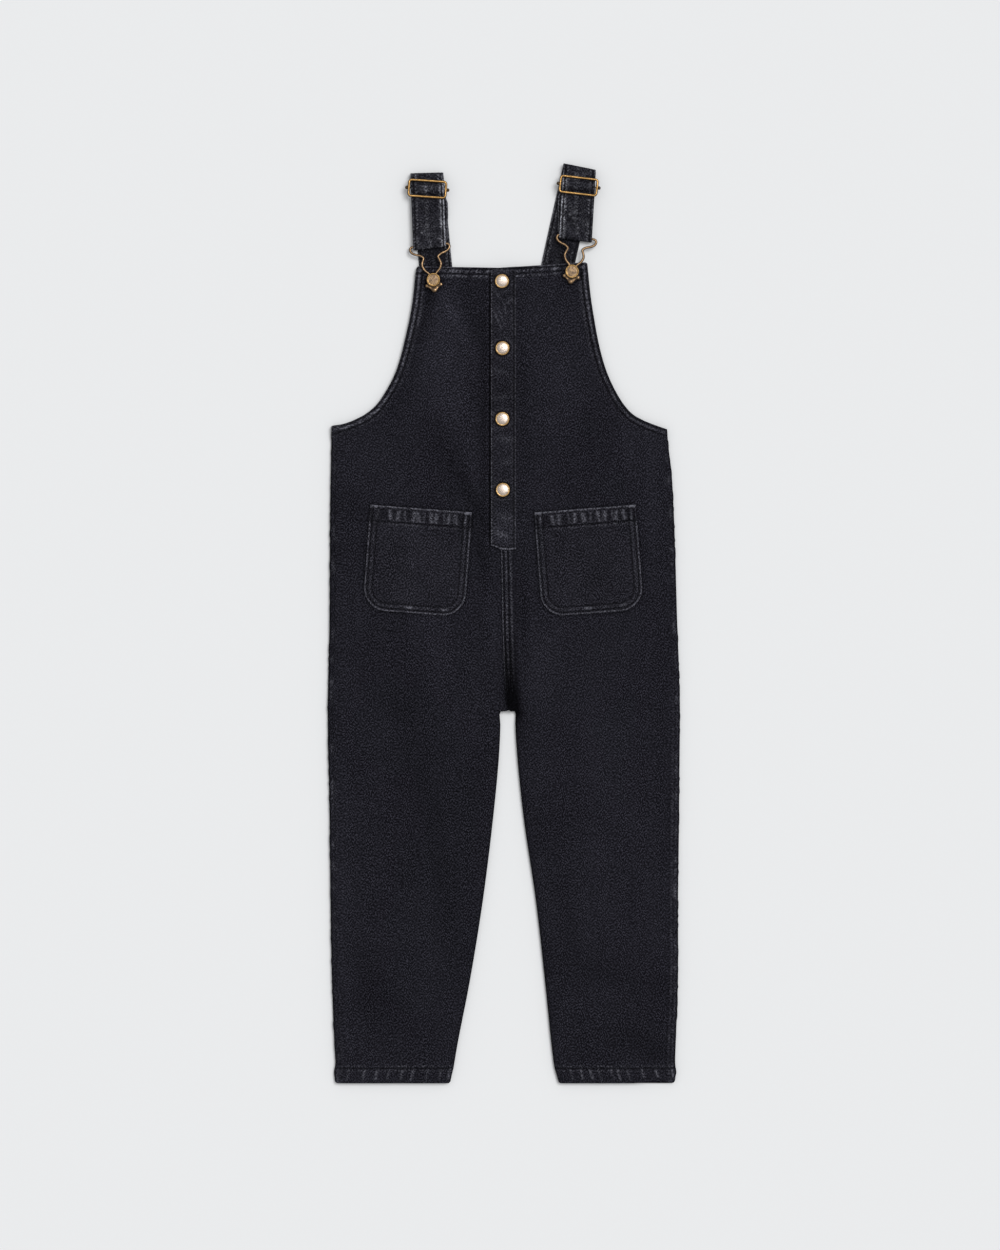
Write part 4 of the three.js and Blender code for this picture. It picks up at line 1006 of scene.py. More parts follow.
def pocketPiece(side, material):
    # Columns keep their distance from the edge, so that the rows of stitches follow it.
    size, deep = pocket["wide"], pocket["deep"]
    fine = np.array([0, 0.3, 0.7, 1.2, 1.7, 2.2, 2.8, 3.4, 4.1, 4.8, 5.5, 6.2, 6.9, 7.6, 8.3, 9.1, 10.1])
    turns = np.linspace(0, math.pi / 2, 34)
    straight = np.concatenate([[0, 0.4, 0.9, 1.5, 2.2], np.arange(3, 17, 0.7),
                               np.arange(17.5, deep - pocket["corner"], 1.3)])
    depth = np.concatenate([straight, deep - pocket["corner"] + pocket["corner"] * np.sin(turns)])
    depth[-1] -= 0.01
    half = pocketHalf(depth)
    shareFine = fine / (size / 2)
    shares = np.concatenate([-1 + shareFine,
                             np.linspace(-1 + shareFine[-1], 1 - shareFine[-1], 54)[1:-1],
                             (1 - shareFine)[::-1]])
    a = shares[None, :] * half[:, None]
    # The mouth is drawn in a little by its stitches.
    a = a * (1 - 0.010 * np.exp(-depth[:, None] / 12))
    d = np.broadcast_to(depth[:, None], a.shape)
    x, up = pocketWorld(side, a, d)
    top = pocketFace(side, x, up)
    under = np.minimum(frontFace(side, x, up) + 0.15, top - 0.6)
    inward = np.clip(toPocketEdge(a, d), 0, None)
    patchy = 0.6 + 0.4 * softNoise(x, up, 4.0, 61)
    small = np.clip(softNoise(x, up, 2.6, 63), 0, 1)
    around = np.arctan2(d - 40, a) * 46
    wear = 0.60 * bump(inward, 0.8, 0.7) * (0.15 + 0.85 * patchy) * (0.45 + 0.55 * smooth(d, 12, 18))
    wear += 0.80 * bump(d, 0.7, 0.7) * (0.35 + 0.65 * patchy)
    dots = np.clip(softNoise(around, inward * 0.3, 3.6, 51) * 2 - 0.5, 0, 1)
    wear += 0.09 * bump(inward, 5.3, 1.2) * patchy + 1.05 * bump(inward, 5.2,
                                                                 1.2) * dots * smooth(d, deep - 26,
                                                                                      deep - 8)
    inside = smooth(d, 2.2, 5.0) * (1 - smooth(d, 12.0, 13.8))
    between = np.ones(a.shape)
    for k, share in enumerate(mouthPuckers[side]):
        place = share * size / 2 + (d - 6) * (0.16 if k % 2 else -0.08)
        fold = bump(a, place, 0.9 + 0.5 * (k % 3))
        between = np.minimum(between, 1 - fold)
        wear += inside * (0.46 + 0.16 * ((k * 5) % 3)) * fold * (0.5 + 0.5 * patchy)
        wear += 0.20 * bump(d, 16.7, 0.9) * bump(a, place, 1.8)
    # Bar tacks at the ends of the mouth
    tack = smooth(np.abs(a), size / 2 - 7.5, size / 2 - 6.5) * (1 - smooth(d, 1.8, 2.9))
    wear += 1.2 * tack * (0.4 + small) + 0.9 * tack * bump(np.abs(a), size / 2 - 1.5, 2.4)
    # Painted shade in the grooves of the mouth band and the rows, in patches below the band and between the
    # mouth's puckers.
    shade = -0.16 * bump(d, 14.6, 1.0) - 0.30 * bump(d, 17.0,
                                                     1.8) * np.clip(softNoise(x, up, 7, 65), 0,
                                                                    1) - 0.30 * bump(d, 2.6,
                                                                                     0.9) + 0.10 * softNoise(x, up, 22, 67) * smooth(inward, 6, 14)
    shade = shade - 0.20 * (bump(inward, 2.6, 0.8) + 0.6 * bump(inward, 7.7, 0.9)) * smooth(d, 8,
                                                                                            14) - 0.34 * inside * between
    ownRows = [(np.abs(inward - row) + 9 * (1 - smooth(d, 0.5, 1.5)), around) for row in pocket["rows"]]
    marks = nearestRow(*ownRows, (np.abs(d - pocket["mouthBand"]), a))
    # Past its inner row and in the mouth band the cloth lies smoother.
    pull = (0.32 - 0.3 * smooth(inward, 7.6, 8.4) * smooth(d, 15, 17)) * (1 - 0.8 * inside)
    pull = np.maximum(pull, 0.85 * bump(d, 15, 2.4))
    marks.update(wear=np.clip(wear, 0, 1), shade=shade, pull=pull)
    return shell("cloth_pocket_" + side, toWorld(x, up, top), toWorld(x, up, under), marks, material)


def pocketRoutes(side):
    half, corner, size = pocket["wide"] / 2, pocket["corner"], pocket["deep"]

    def face(x, up):
        return pocketFace(side, x, up)

    routes = []
    for inset in pocket["rows"]:
        r = corner - inset
        turns = np.linspace(0, math.pi / 2, 14)
        lowRight = [[half - corner + r * math.cos(t), size - corner + r * math.sin(t)] for t in turns]
        lowLeft = [[-p[0], p[1]] for p in reversed(lowRight)]
        line = np.array([[half - inset, 0.8], *lowRight, *lowLeft, [-half + inset, 0.8]])
        x, up = pocketWorld(side, line[:, 0], line[:, 1])
        routes.append(onFace(np.stack([x, up], -1), face))
    ends = np.array([[-half + 2, pocket["mouthBand"]], [half - 2, pocket["mouthBand"]]])
    x, up = pocketWorld(side, ends[:, 0], ends[:, 1])
    routes.append(onFace(np.stack([x, up], -1), face))
    return routes


# Straps with their sliders, clasps and bib buttons

fitting = {
    "right": {"button": (-66.9, 762.9), "claspTurn": math.radians(6.4), "barShift": 0,
              "fold": (-73.2, 865.0),
              "foldLine": math.radians(1.6), "sliderDown": 15.7, "sliderTurn": math.radians(-3.8),
              "backStrap": (-64.9, 777.6), "strapEnd": (-54.0, 682.0), "lean": 3.3},
    "left": {"button": (64.6, 770.9), "claspTurn": math.radians(-8.0), "barShift": -1.2,
             "fold": (71.9, 871.0),
             "foldLine": math.radians(-11.5), "sliderDown": 18.8, "sliderTurn": math.radians(-6.7),
             "backStrap": (51.9, 780.4), "strapEnd": (33.5, 682.0), "lean": -3.3},
}
strap = {
    "width": 31.2,
    "thickness": 1.4,
    "gap": 0.3,
    "stitchInset": 2.6,
    "backTop": 705,
    "flat": (0.030, 0.36),
}
slider = {"wire": 1.18, "bar": 0.8, "halfWidth": 17.5, "halfHeight": 7.6, "corner": 2.4, "bead": 1.8}
clasp = {"wire": 1.18, "barUp": 33.4, "hole": 2.9, "plate": 1.2}

strapHalf = strap["thickness"] / 2
lowLayer = strapHalf
tailLayer = lowLayer + strap["thickness"] + strap["gap"]
returnLayer = tailLayer + strap["thickness"] + strap["gap"]
topLayer = returnLayer + strap["thickness"] + strap["gap"]
sliderLevel = topLayer + strapHalf + strap["gap"] + 1.0
wrapRadius = slider["bar"] + 0.2 + strapHalf
overWrap = wrapRadius + strap["thickness"] + strap["gap"]
loopRadius = 1.1 + 0.2 + strapHalf


def strapLayout(side):
    spot = dict(fitting[side])
    bx, bup = spot["button"]
    turn = spot["claspTurn"]
    spot["bar"] = (bx - clasp["barUp"] * math.sin(turn) + spot["barShift"],
                   bup + clasp["barUp"] * math.cos(turn))

    def heading(a, b):
        return math.atan2(b[0] - a[0], a[1] - b[1])

    spot["frontTurn"] = heading(spot["fold"], spot["bar"])
    spot["backTurn"] = heading(spot["fold"], spot["backStrap"])
    spot["endTurn"] = heading(spot["backStrap"], spot["strapEnd"])
    spot["barDown"] = math.dist(spot["bar"], spot["fold"])
    spot["edgeDown"] = math.dist(spot["backStrap"], spot["fold"])
    spot["endDown"] = math.dist(spot["strapEnd"], spot["backStrap"])
    return spot


def bumpReach(radius, height):
    # How far from the bar a layer that rises at 60 degrees round it meets a height.
    return (radius - 0.5 * (height - sliderLevel)) / math.sin(math.pi / 3)


def strapCorners(lay):
    # (distance down, height, radius of the bend, blend) from the sewn end to the tail.
    bar, tip = lay["barDown"], lay["barDown"] + 0.6 + loopRadius
    mid = lay["sliderDown"]
    onBack = cloth["thickness"] + strap["gap"] + strapHalf
    backEdge = lay["edgeDown"] + (lay["backStrap"][1] - strap["backTop"]) / math.cos(lay["endTurn"])
    high = tailLayer + 2 * loopRadius
    foldRadius = (topLayer - lowLayer) / 2
    overTop, wrapTop = bumpReach(overWrap, sliderLevel + overWrap), bumpReach(wrapRadius,
                                                                              sliderLevel + wrapRadius)
    back = [(lay["edgeDown"] + lay["endDown"], onBack, 0), (backEdge - 2, onBack, 4),
            (backEdge - 12, lowLayer, 4), (lay["edgeDown"], lowLayer, 0)]
    front = [
        (mid - bumpReach(overWrap, topLayer), topLayer, 1.5),
        (mid - overTop, sliderLevel + overWrap, overWrap),
        (mid + overTop, sliderLevel + overWrap, overWrap),
        (mid + bumpReach(overWrap, topLayer), topLayer, 1.5),
        (bar - 10, topLayer, 6), (bar - 4, high, 4), (tip, high, loopRadius),
        (tip, tailLayer, loopRadius),
        (mid + 30, tailLayer, 6), (mid + 20, returnLayer, 6),
        (mid + bumpReach(wrapRadius, returnLayer), returnLayer, 1.5),
        (mid + wrapTop, sliderLevel + wrapRadius, wrapRadius),
        (mid - wrapRadius, sliderLevel + wrapRadius, wrapRadius),
        (mid - wrapRadius, sliderLevel - wrapRadius, wrapRadius),
        (mid + bumpReach(0, sliderLevel - wrapRadius), sliderLevel - wrapRadius, 1),
        (mid + bumpReach(0, tailLayer), tailLayer, 1.5), (mid + 16, tailLayer, 0),
    ]
    fold = [(strapHalf, lowLayer, foldRadius, 0, 0.5), (strapHalf, topLayer, foldRadius, 0.5, 1)]
    return [(*row, 0, 0) for row in back] + fold + [(*row, 1, 1) for row in front]


def roundedPath(corners):
    # The corners' polyline with each bend rounded: rows of (down, height, blend).
    points = []
    for i, (down, height, radius, blendIn, blendOut) in enumerate(corners):
        p = np.array([down, height], float)
        if i in (0, len(corners) - 1) or not radius:
            points.append((*p, blendIn))
            continue
        before = np.array(corners[i - 1][:2]) - p
        after = np.array(corners[i + 1][:2]) - p
        before, after = before / np.linalg.norm(before), after / np.linalg.norm(after)
        half = math.acos(np.clip(before @ after, -1, 1)) / 2
        if half > math.radians(89.5):
            points.append((*p, blendIn))
            continue
        middle = (before + after) / np.linalg.norm(before + after)
        centre = p + middle * radius / math.sin(half)
        start = p + before * radius / math.tan(half) - centre
        turn = (math.pi - 2 * half) * (-1 if before[0] * after[1] - before[1] * after[0] > 0 else 1)
        steps = max(3, int(abs(turn) / math.radians(8)))
        for k in range(steps + 1):
            angle, share = turn * k / steps, k / steps
            c, s = math.cos(angle), math.sin(angle)
            q = centre + np.array([start[0] * c - start[1] * s, start[0] * s + start[1] * c])
            points.append((*q, mix(blendIn, blendOut, share)))
    kept = [points[0]]
    for point in points[1:]:
        if math.dist(point[:2], kept[-1][:2]) > 0.05:
            kept.append(point)
    return alongLine(np.array(kept), 0.9)


def strapPlace(lay, down, across, blend):
    # A place on the strap seen from above, from its distance along a run and across it.
    spot = lay["sliderDown"]
    stops = [0, spot - 7, spot + 9, lay["barDown"] - 8, lay["barDown"] + 20]
    turns = [lay["foldLine"], lay["sliderTurn"], lay["sliderTurn"], lay["claspTurn"], lay["claspTurn"]]
    lean = np.interp(down, stops, turns) - lay["frontTurn"]
    frontDown = down - across * np.tan(lean)
    ft = lay["frontTurn"]
    fx = lay["fold"][0] + frontDown * math.sin(ft) + across * math.cos(ft)
    fup = lay["fold"][1] - frontDown * math.cos(ft) + across * math.sin(ft)
    past = down > lay["edgeDown"]
    turn = np.where(past, lay["endTurn"], lay["backTurn"])
    acrossTurn = mix(lay["backTurn"], lay["endTurn"],
                     smooth(down, lay["edgeDown"] - 8, lay["edgeDown"] + 8))
    slip = across * math.tan(lay["foldLine"] - lay["backTurn"]) * (1 - smooth(down, 2, 22))
    backDown = np.where(past, down - lay["edgeDown"], down) - slip
    ox, oup = np.where(past, lay["backStrap"][0], lay["fold"][0]), np.where(past,
                                                                            lay["backStrap"][1],
                                                                            lay["fold"][1])
    bx = ox + backDown * np.sin(turn) + across * np.cos(acrossTurn)
    bup = oup - backDown * np.cos(turn) + across * np.sin(acrossTurn)
    return mix(bx, fx, blend), mix(bup, fup, blend)


def strapSurface(side, across, lift):
    # Places of the strap at a distance across it and a lift off its middle.
    lay = strapLayout(side)
    path = roundedPath(strapCorners(lay))
    tangent = np.gradient(path[:, :2], axis=0)
    tangent /= np.linalg.norm(tangent, axis=1)[:, None]
    normal = np.stack([-tangent[:, 1], tangent[:, 0]], -1)
    across, lift = np.broadcast_arrays(across, lift)
    down = path[:, 0, None] + normal[:, 0, None] * lift
    height = path[:, 1, None] + normal[:, 1, None] * lift
    # The layers under the front run lie a little to one side of it, as much as the slider lets them.
    tip = int(np.argmax(path[:, 0] * (path[:, 2] > 0.5)))
    under = smooth(np.arange(len(path)), tip, tip + 10)
    free = smooth(path[:, 0], lay["sliderDown"] + 3, lay["sliderDown"] + 13)
    slip = lay["lean"] * under * (0.22 + 0.78 * free) * (1
                                                         - 0.5 * smooth(path[:, 0], lay["barDown"] - 36, lay["barDown"]))
    x, up = strapPlace(lay, down, across + slip[:, None], path[:, 2, None])
    return np.stack([x, up, height], -1), path, normal


def strapPiece(side, material):
    half, inset = strap["width"] / 2, strap["stitchInset"]
    fromEdge = np.array([0, 0.2, 0.6, 1.1, 1.6, 2.1, 2.6, 3.2, 3.9, 4.7, 6.1, 8.6, 11.6, 14.1])
    columns = np.concatenate([fromEdge - half, (half - fromEdge)[::-1]])
    rounded = strapHalf * (1 - np.exp(-(half - np.abs(columns)) / 0.32) * 0.75)
    groove = 0.18 * bump(half - np.abs(columns), inset, 0.6)
    across = np.concatenate([columns, columns[::-1]])
    lift = np.concatenate([rounded - groove, -(rounded - groove)[::-1]])
    rings, path, normal = strapSurface(side, across[None], lift[None])
    count = len(path)
    run = np.arange(count) * 0.9
    patchy = softNoise(run[:, None], across[None], 6, 71)
    small = softNoise(run[:, None], across[None], 2.6, 73)
    edge = half - np.abs(across)[None]
    rings[..., 2] += 0.05 * patchy * smooth(edge, 0, 3)
    streak = np.clip(softNoise(across[None] + 40, run[:, None] * 0.22, 3.0, 77), 0, 1)
    toMiddle = 1 if side == "right" else -1
    inner = smooth(across * toMiddle, 0, 5)[None]
    # The edge towards the garment's middle has rubbed white, in two lines.
    lines = np.maximum(bump(edge, 0.7, 0.6), 0.8 * bump(edge, 3.4, 0.6)) * smooth(path[:, 0], 6,
                                                                                  12)[:, None]
    wear = inner * lines * np.clip(0.7 + 0.5 * patchy, 0.05, 1) + 0.06 * bump(edge, 1.6,
                                                                              1.0) * (1 + patchy)
    wear = wear + 0.10 * bump(edge, 4.6, 1.0) * np.clip(small, 0,
                                                        1) + 0.26 * streak * np.clip(0.4 + small, 0, 1)
    turnMark = np.abs(np.gradient(np.unwrap(np.arctan2(normal[:, 1], normal[:, 0]))))[:, None] / 0.9
    wear = wear + 0.05 * np.clip(turnMark * 3, 0, 1) * np.clip(0.5 + patchy, 0, 1)
    # Cloth that lies under other layers is less rubbed and is painted darker, as shade. The edge away from the
    # garment's middle is painted with a dark line, and each row with a dark groove, as shade.
    covered = (path[:, 2] > 0.5) & (path[:, 1] < topLayer - 0.9)
    under = (covered | (path[:, 2] < 0.4))[:, None]
    wear = np.where(under, 0.35 * wear, wear)
    shade = np.where(under, -0.22, 0.16 * patchy) - 0.55 * (1 - inner) * np.exp(-edge / 0.55)
    shade = shade - 0.30 * bump(edge, 2.1, 0.7)
    marks = nearestRow((np.broadcast_to(np.abs(edge - inset), wear.shape),
                        np.broadcast_to(run[:, None], wear.shape)))
    marks["pull"] = marks["pull"] * 0.5
    marks.update(wear=np.clip(wear, 0, 1), shade=np.broadcast_to(shade, wear.shape))
    world = toWorld(rings[..., 0], rings[..., 1], rings[..., 2])
    return sweep("cloth_strap_" + side, world, marks, material)


def strapRoutes(side):
    # Two rows on the face that shows: outside on the front run, inside on the back run.
    lay = strapLayout(side)
    routes = []
    for sign in (-1, 1):
        across = np.array([[sign * (strap["width"] / 2 - strap["stitchInset"])]])
        for face in (1, -1):
            line, path, normal = strapSurface(side, across, np.array([[face * (strapHalf - 0.12)]]))
            line = line[:, 0]
            facingUp = normal[:, 1] * face > 0.3
            onTop = (path[:, 2] > 0.5) & (path[:, 1] > topLayer - 0.4) if face > 0 else path[:, 2] < 0.5
            shown = facingUp & onTop & (path[:, 0] < lay["barDown"] + 6)
            where = np.flatnonzero(shown)
            if face < 0:
                where = where[path[where, 0] < lay["edgeDown"] + 6]
            if len(where):
                for piece in np.split(where, np.flatnonzero(np.diff(where) > 1) + 1):
                    if len(piece) > 6:
                        routes.append(line[piece])
    return routes


def sliderParts():
    w, h, r = slider["halfWidth"], slider["halfHeight"], slider["corner"]
    line = []
    for cx, cy, first in ((w - r, h - r, 0), (-w + r, h - r, 90), (-w + r, -h + r, 180),
                          (w - r, -h + r, 270)):
        for angle in np.radians(np.linspace(first, first + 90, 9)):
            line.append([cx + r * math.cos(angle), cy + r * math.sin(angle), 0])
    frameWire = tubeParts(np.array(line), slider["wire"], 14, closed=True)
    reach = w + 2.1
    bar = tubeParts(np.array([[-reach, 0, 0], [0, 0.001, 0], [reach, 0, 0]]), slider["bar"], 12)
    parts = [frameWire, bar]
    for side in (-1, 1):
        rows = [(0, -1), (0.45, -0.88), (0.8, -0.55), (1, 0), (0.85, 0.5), (0.5, 0.85), (0, 1)]
        points, faces = latheParts([(slider["bead"] * a, slider["bead"] * b * 0.9) for a, b in rows], 16)
        parts.append((points[:, [2, 0, 1]] + [side * (reach - 0.1), 0, 0], faces))
    return parts


# One side of the clasp's wire, from its plate up to its bar: x, y, level
claspSide = [
    (2.4, 1.6, 6.6), (2.9, 3.4, 6.7), (3.3, 5.9, 6.75), (7.4, 10.4, 6.8), (9.0, 14.9, 6.75),
    (7.9, 18.8, 6.6),
    (7.0, 21.6, 6.3), (9.5, 24.0, 5.9), (14.1, 25.7, 5.4), (17.6, 27.9, 4.95), (18.8, 30.4, 4.6),
    (18.0, 32.6, 4.4), (15.6, 33.3, 4.4),
]
# Outline of the stamped plate, one side from the top to the tip
plateSide = [(0.0, 5.2), (2.4, 5.1), (4.2, 4.6), (5.2, 3.0), (5.3, 0.6), (5.7, -1.8), (6.7, -3.4),
             (8.0, -4.0),
             (8.4, -5.2), (7.6, -6.4), (6.2, -6.6), (4.6, -7.3), (3.4, -8.6), (2.4, -10.3),
             (1.5, -11.5), (0.0, -11.8)]


def claspWire():
    right = np.array(claspSide, float)
    left = right[::-1] * [-1, 1, 1]
    rows = np.concatenate([right, left])
    dense = throughRows(rows, np.linspace(0, len(rows) - 1, 260))
    return tubeParts(alongLine(dense, 0.75), clasp["wire"], 12)


def claspPlate():
    # Rings of points from the shank's hole out to the edge, domed, with three lobes pressed up.
    right = throughRows(np.array(plateSide), np.linspace(0, len(plateSide) - 1, 44))
    outline = np.concatenate([right, (right * [-1, 1])[::-1][1:-1]])
    angle = np.arctan2(outline[:, 1], outline[:, 0])
    hole = clasp["hole"] * np.stack([np.cos(angle), np.sin(angle)], -1)
    level, thick = 5.5, clasp["plate"]
    rings = []
    for share, height in ((0, 0), (0, 0.7), (0.04, 0.95), (0.12, 1.0), (0.25, 1.0), (0.38, 1.0),
                          (0.5, 1.0), (0.62, 1.0),
                          (0.74, 1.0), (0.84, 1.0), (0.91, 0.98), (0.96, 0.85), (0.99, 0.6),
                          (1, 0.25), (0.99, 0), (0.5, 0)):
        flat = mix(hole, outline, share)
        z = np.full(len(flat), level + thick * height)
        if height > 0.8:
            for lx, ly in ((6.6, -4.9), (-6.6, -4.9), (0, -9.2)):
                z += 0.75 * bump(np.hypot(flat[:, 0] - lx, flat[:, 1] - ly), 0, 1.7)
            z -= 0.45 * bump(np.hypot(flat[:, 0], (flat[:, 1] + 6.2) * 0.8), 0, 1.6)
        rings.append(np.column_stack([flat, z]))
    rows, columns = len(rings), len(outline)
    faces = quadGrid(rows, columns, 0, True).tolist() + loopFaces(rows, columns)
    return np.concatenate(rings), faces


bibButton = {
    "rows": [(0, 0), (2.4, 0), (2.4, 1.0), (2.4, 2.4), (5.6, 2.45), (6.15, 2.6), (6.4, 3.0),
             (6.42, 3.6), (6.38, 4.1),
             (6.2, 4.45), (5.9, 4.6), (5.6, 4.55), (5.35, 4.3), (5.1, 4.12), (4.6, 4.12),
             (3.4, 4.2), (2.0, 4.28),
             (0.8, 4.3), (0, 4.3)],
    "headUnder": 2.4,
}


def metalPiece(name, node, world, faces, material, face=0.0, dull=0.0, bright=(0.50, 0.93)):
    # Brass is painted with a highlight on top and painted shade on its sides, where light from above falls and
    # misses.
    count = len(world)
    marks = {
        "face": np.broadcast_to(face, (count,)),
        "worn": lambda facing: smooth(facing[:, 2], *bright) * (1 - np.broadcast_to(dull, (count,))),
    }
    piece = meshObject(name, world, faces, marks, material)
    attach(piece, "root")
    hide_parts(node)
    return piece


# Shader node groups

def newGroup(name, inputs, outputs):
    tree = bpy.data.node_groups.new(name, "ShaderNodeTree")
    for label, kind, value in inputs:
        socket = tree.interface.new_socket(name=label, in_out="INPUT", socket_type="NodeSocket" + kind)
        if value is not None:
            socket.default_value = value
    for label in outputs:
        tree.interface.new_socket(name=label, in_out="OUTPUT", socket_type="NodeSocketFloat")
    return tree, tree.nodes.new("NodeGroupInput").outputs, tree.nodes.new("NodeGroupOutput").inputs


def link(tree, value, socket):
    if isinstance(value, bpy.types.NodeSocket):
        tree.links.new(value, socket)
    else:
        socket.default_value = value


def math2(tree, operation, *values, clamp=False):
    node = tree.nodes.new("ShaderNodeMath")
    node.operation = operation
    node.use_clamp = clamp
    for socket, value in zip(node.inputs, values):
        link(tree, value, socket)
    return node.outputs[0]


def stretch(tree, value, low, high):
    # 0 below low, 1 above high, with a soft step between.
    node = tree.nodes.new("ShaderNodeMapRange")
    node.interpolation_type = "SMOOTHSTEP"
    link(tree, value, node.inputs["Value"])
    link(tree, low, node.inputs["From Min"])
    link(tree, high, node.inputs["From Max"])
    return node.outputs["Result"]


def noise(tree, vector, scale, detail, roughness):
    node = tree.nodes.new("ShaderNodeTexNoise")
    link(tree, vector, node.inputs["Vector"])
    link(tree, scale, node.inputs["Scale"])
    link(tree, detail, node.inputs["Detail"])
    link(tree, roughness, node.inputs["Roughness"])
    return node.outputs["Fac"]


def scaled(tree, vector, factors, turn=0.0):
    node = tree.nodes.new("ShaderNodeMapping")
    node.inputs["Scale"].default_value = factors
    node.inputs["Rotation"].default_value = (0, 0, turn)
    link(tree, vector, node.inputs["Vector"])
    return node.outputs["Vector"]


def makeTwill():
    # Twill: warp yarns stand in columns, and each float took the dye differently, the more so
    # beside its neighbours. Each column starts at a height of its own. Pitch is in metres.
    tree, given, result = newGroup("twillWeave", [("Place", "Vector", None), ("Pitch", "Float", 0.0009)],
                                   ["Height", "Float", "Lint"])
    split = tree.nodes.new("ShaderNodeSeparateXYZ")
    tree.links.new(given["Place"], split.inputs[0])
    u = math2(tree, "DIVIDE", split.outputs["X"], given["Pitch"])
    column = math2(tree, "FLOOR", u)
    wobble = math2(tree, "MULTIPLY", noise(tree, given["Place"], 300.0, 1.0, 0.5), 1.2)
    v = math2(tree, "DIVIDE", split.outputs["Y"], math2(tree, "MULTIPLY", given["Pitch"], 1.2))
    start = tree.nodes.new("ShaderNodeTexWhiteNoise")
    start.noise_dimensions = "1D"
    tree.links.new(column, start.inputs["W"])
    v = math2(tree, "ADD", math2(tree, "ADD", v, wobble), start.outputs["Value"])
    row = math2(tree, "FLOOR", v)

    def chance(right, down):
        cell = tree.nodes.new("ShaderNodeCombineXYZ")
        tree.links.new(math2(tree, "ADD", column, right), cell.inputs[0])
        tree.links.new(math2(tree, "ADD", row, down), cell.inputs[1])
        draw = tree.nodes.new("ShaderNodeTexWhiteNoise")
        draw.noise_dimensions = "2D"
        tree.links.new(cell.outputs[0], draw.inputs["Vector"])
        return draw.outputs["Value"]

    own = chance(0.0, 0.0)
    around = math2(tree, "ADD", math2(tree, "ADD", chance(1.0, 0.0), chance(-1.0, 0.0)),
                   math2(tree, "ADD", chance(0.0, 1.0), chance(0.0, -1.0)))
    apart = math2(tree, "SUBTRACT", math2(tree, "MULTIPLY", own, 4.0), around)
    even = math2(tree, "ADD", math2(tree, "MULTIPLY", apart, 0.22), 0.5, clamp=True)
    tree.links.new(even, result["Float"])
    tree.links.new(math2(tree, "POWER", own, 46.0), result["Lint"])
    humps = []
    for along in (u, v):
        centred = math2(tree, "SUBTRACT", math2(tree, "MULTIPLY", math2(tree, "FRACT", along), 2.0), 1.0)
        humps.append(math2(tree, "SUBTRACT", 1.0, math2(tree, "MULTIPLY", centred, centred)))
    height = math2(tree, "MULTIPLY", humps[0],
                   math2(tree, "ADD", math2(tree, "MULTIPLY", humps[1], 0.6), 0.4))
    tree.links.new(height, result["Height"])
    return tree


def makeGrain():
    # Uneven yarns that took the dye unevenly: specks, and short streaks along the warp. Flecks
    # break up what is rubbed pale.
    tree, given, result = newGroup("slubGrain", [("Place", "Vector", None), ("Size", "Float", 0.0015)],
                                   ["Speck", "Streak", "Fleck"])
    perMetre = math2(tree, "DIVIDE", 1.0, given["Size"])
    specks = noise(tree, scaled(tree, given["Place"], (1.0, 0.72, 1.0), 0.5), perMetre, 3.0, 0.8)
    tree.links.new(stretch(tree, specks, 0.36, 0.66), result["Speck"])
    half = math2(tree, "MULTIPLY", perMetre, 0.55)
    streaks = noise(tree, scaled(tree, given["Place"], (1.0, 0.16, 1.0)), half, 2.0, 0.6)
    tree.links.new(stretch(tree, streaks, 0.34, 0.68), result["Streak"])
    flecks = noise(tree, given["Place"], half, 1.0, 0.5)
    tree.links.new(stretch(tree, flecks, 0.36, 0.66), result["Fleck"])
    return tree


def makeFade():
    # Clouds left by the wash.
    tree, given, result = newGroup("washFade", [("Place", "Vector", None), ("Size", "Float", 0.07)],
                                   ["Cloud"])
    perMetre = math2(tree, "DIVIDE", 1.0, given["Size"])
    clouds = noise(tree, scaled(tree, given["Place"], (1.0, 0.6, 1.0)), perMetre, 3.0, 0.55)
    tree.links.new(stretch(tree, clouds, 0.3, 0.7), result["Cloud"])
    return tree


def makeRub():
    # Where raised places have rubbed pale: the mark is broken up by the grain.
    tree, given, result = newGroup("rubbedEdge",
                                   [("Mark", "Float", 0.0), ("Speck", "Float", 0.5),
                                    ("Amount", "Float", 1.0)],
                                   ["Rub"])
    broken = math2(tree, "ADD", math2(tree, "MULTIPLY", given["Speck"], 1.5), 0.15)
    rub = math2(tree, "MULTIPLY", math2(tree, "MULTIPLY", given["Mark"], broken), given["Amount"],
                clamp=True)
    tree.links.new(rub, result["Rub"])
    return tree


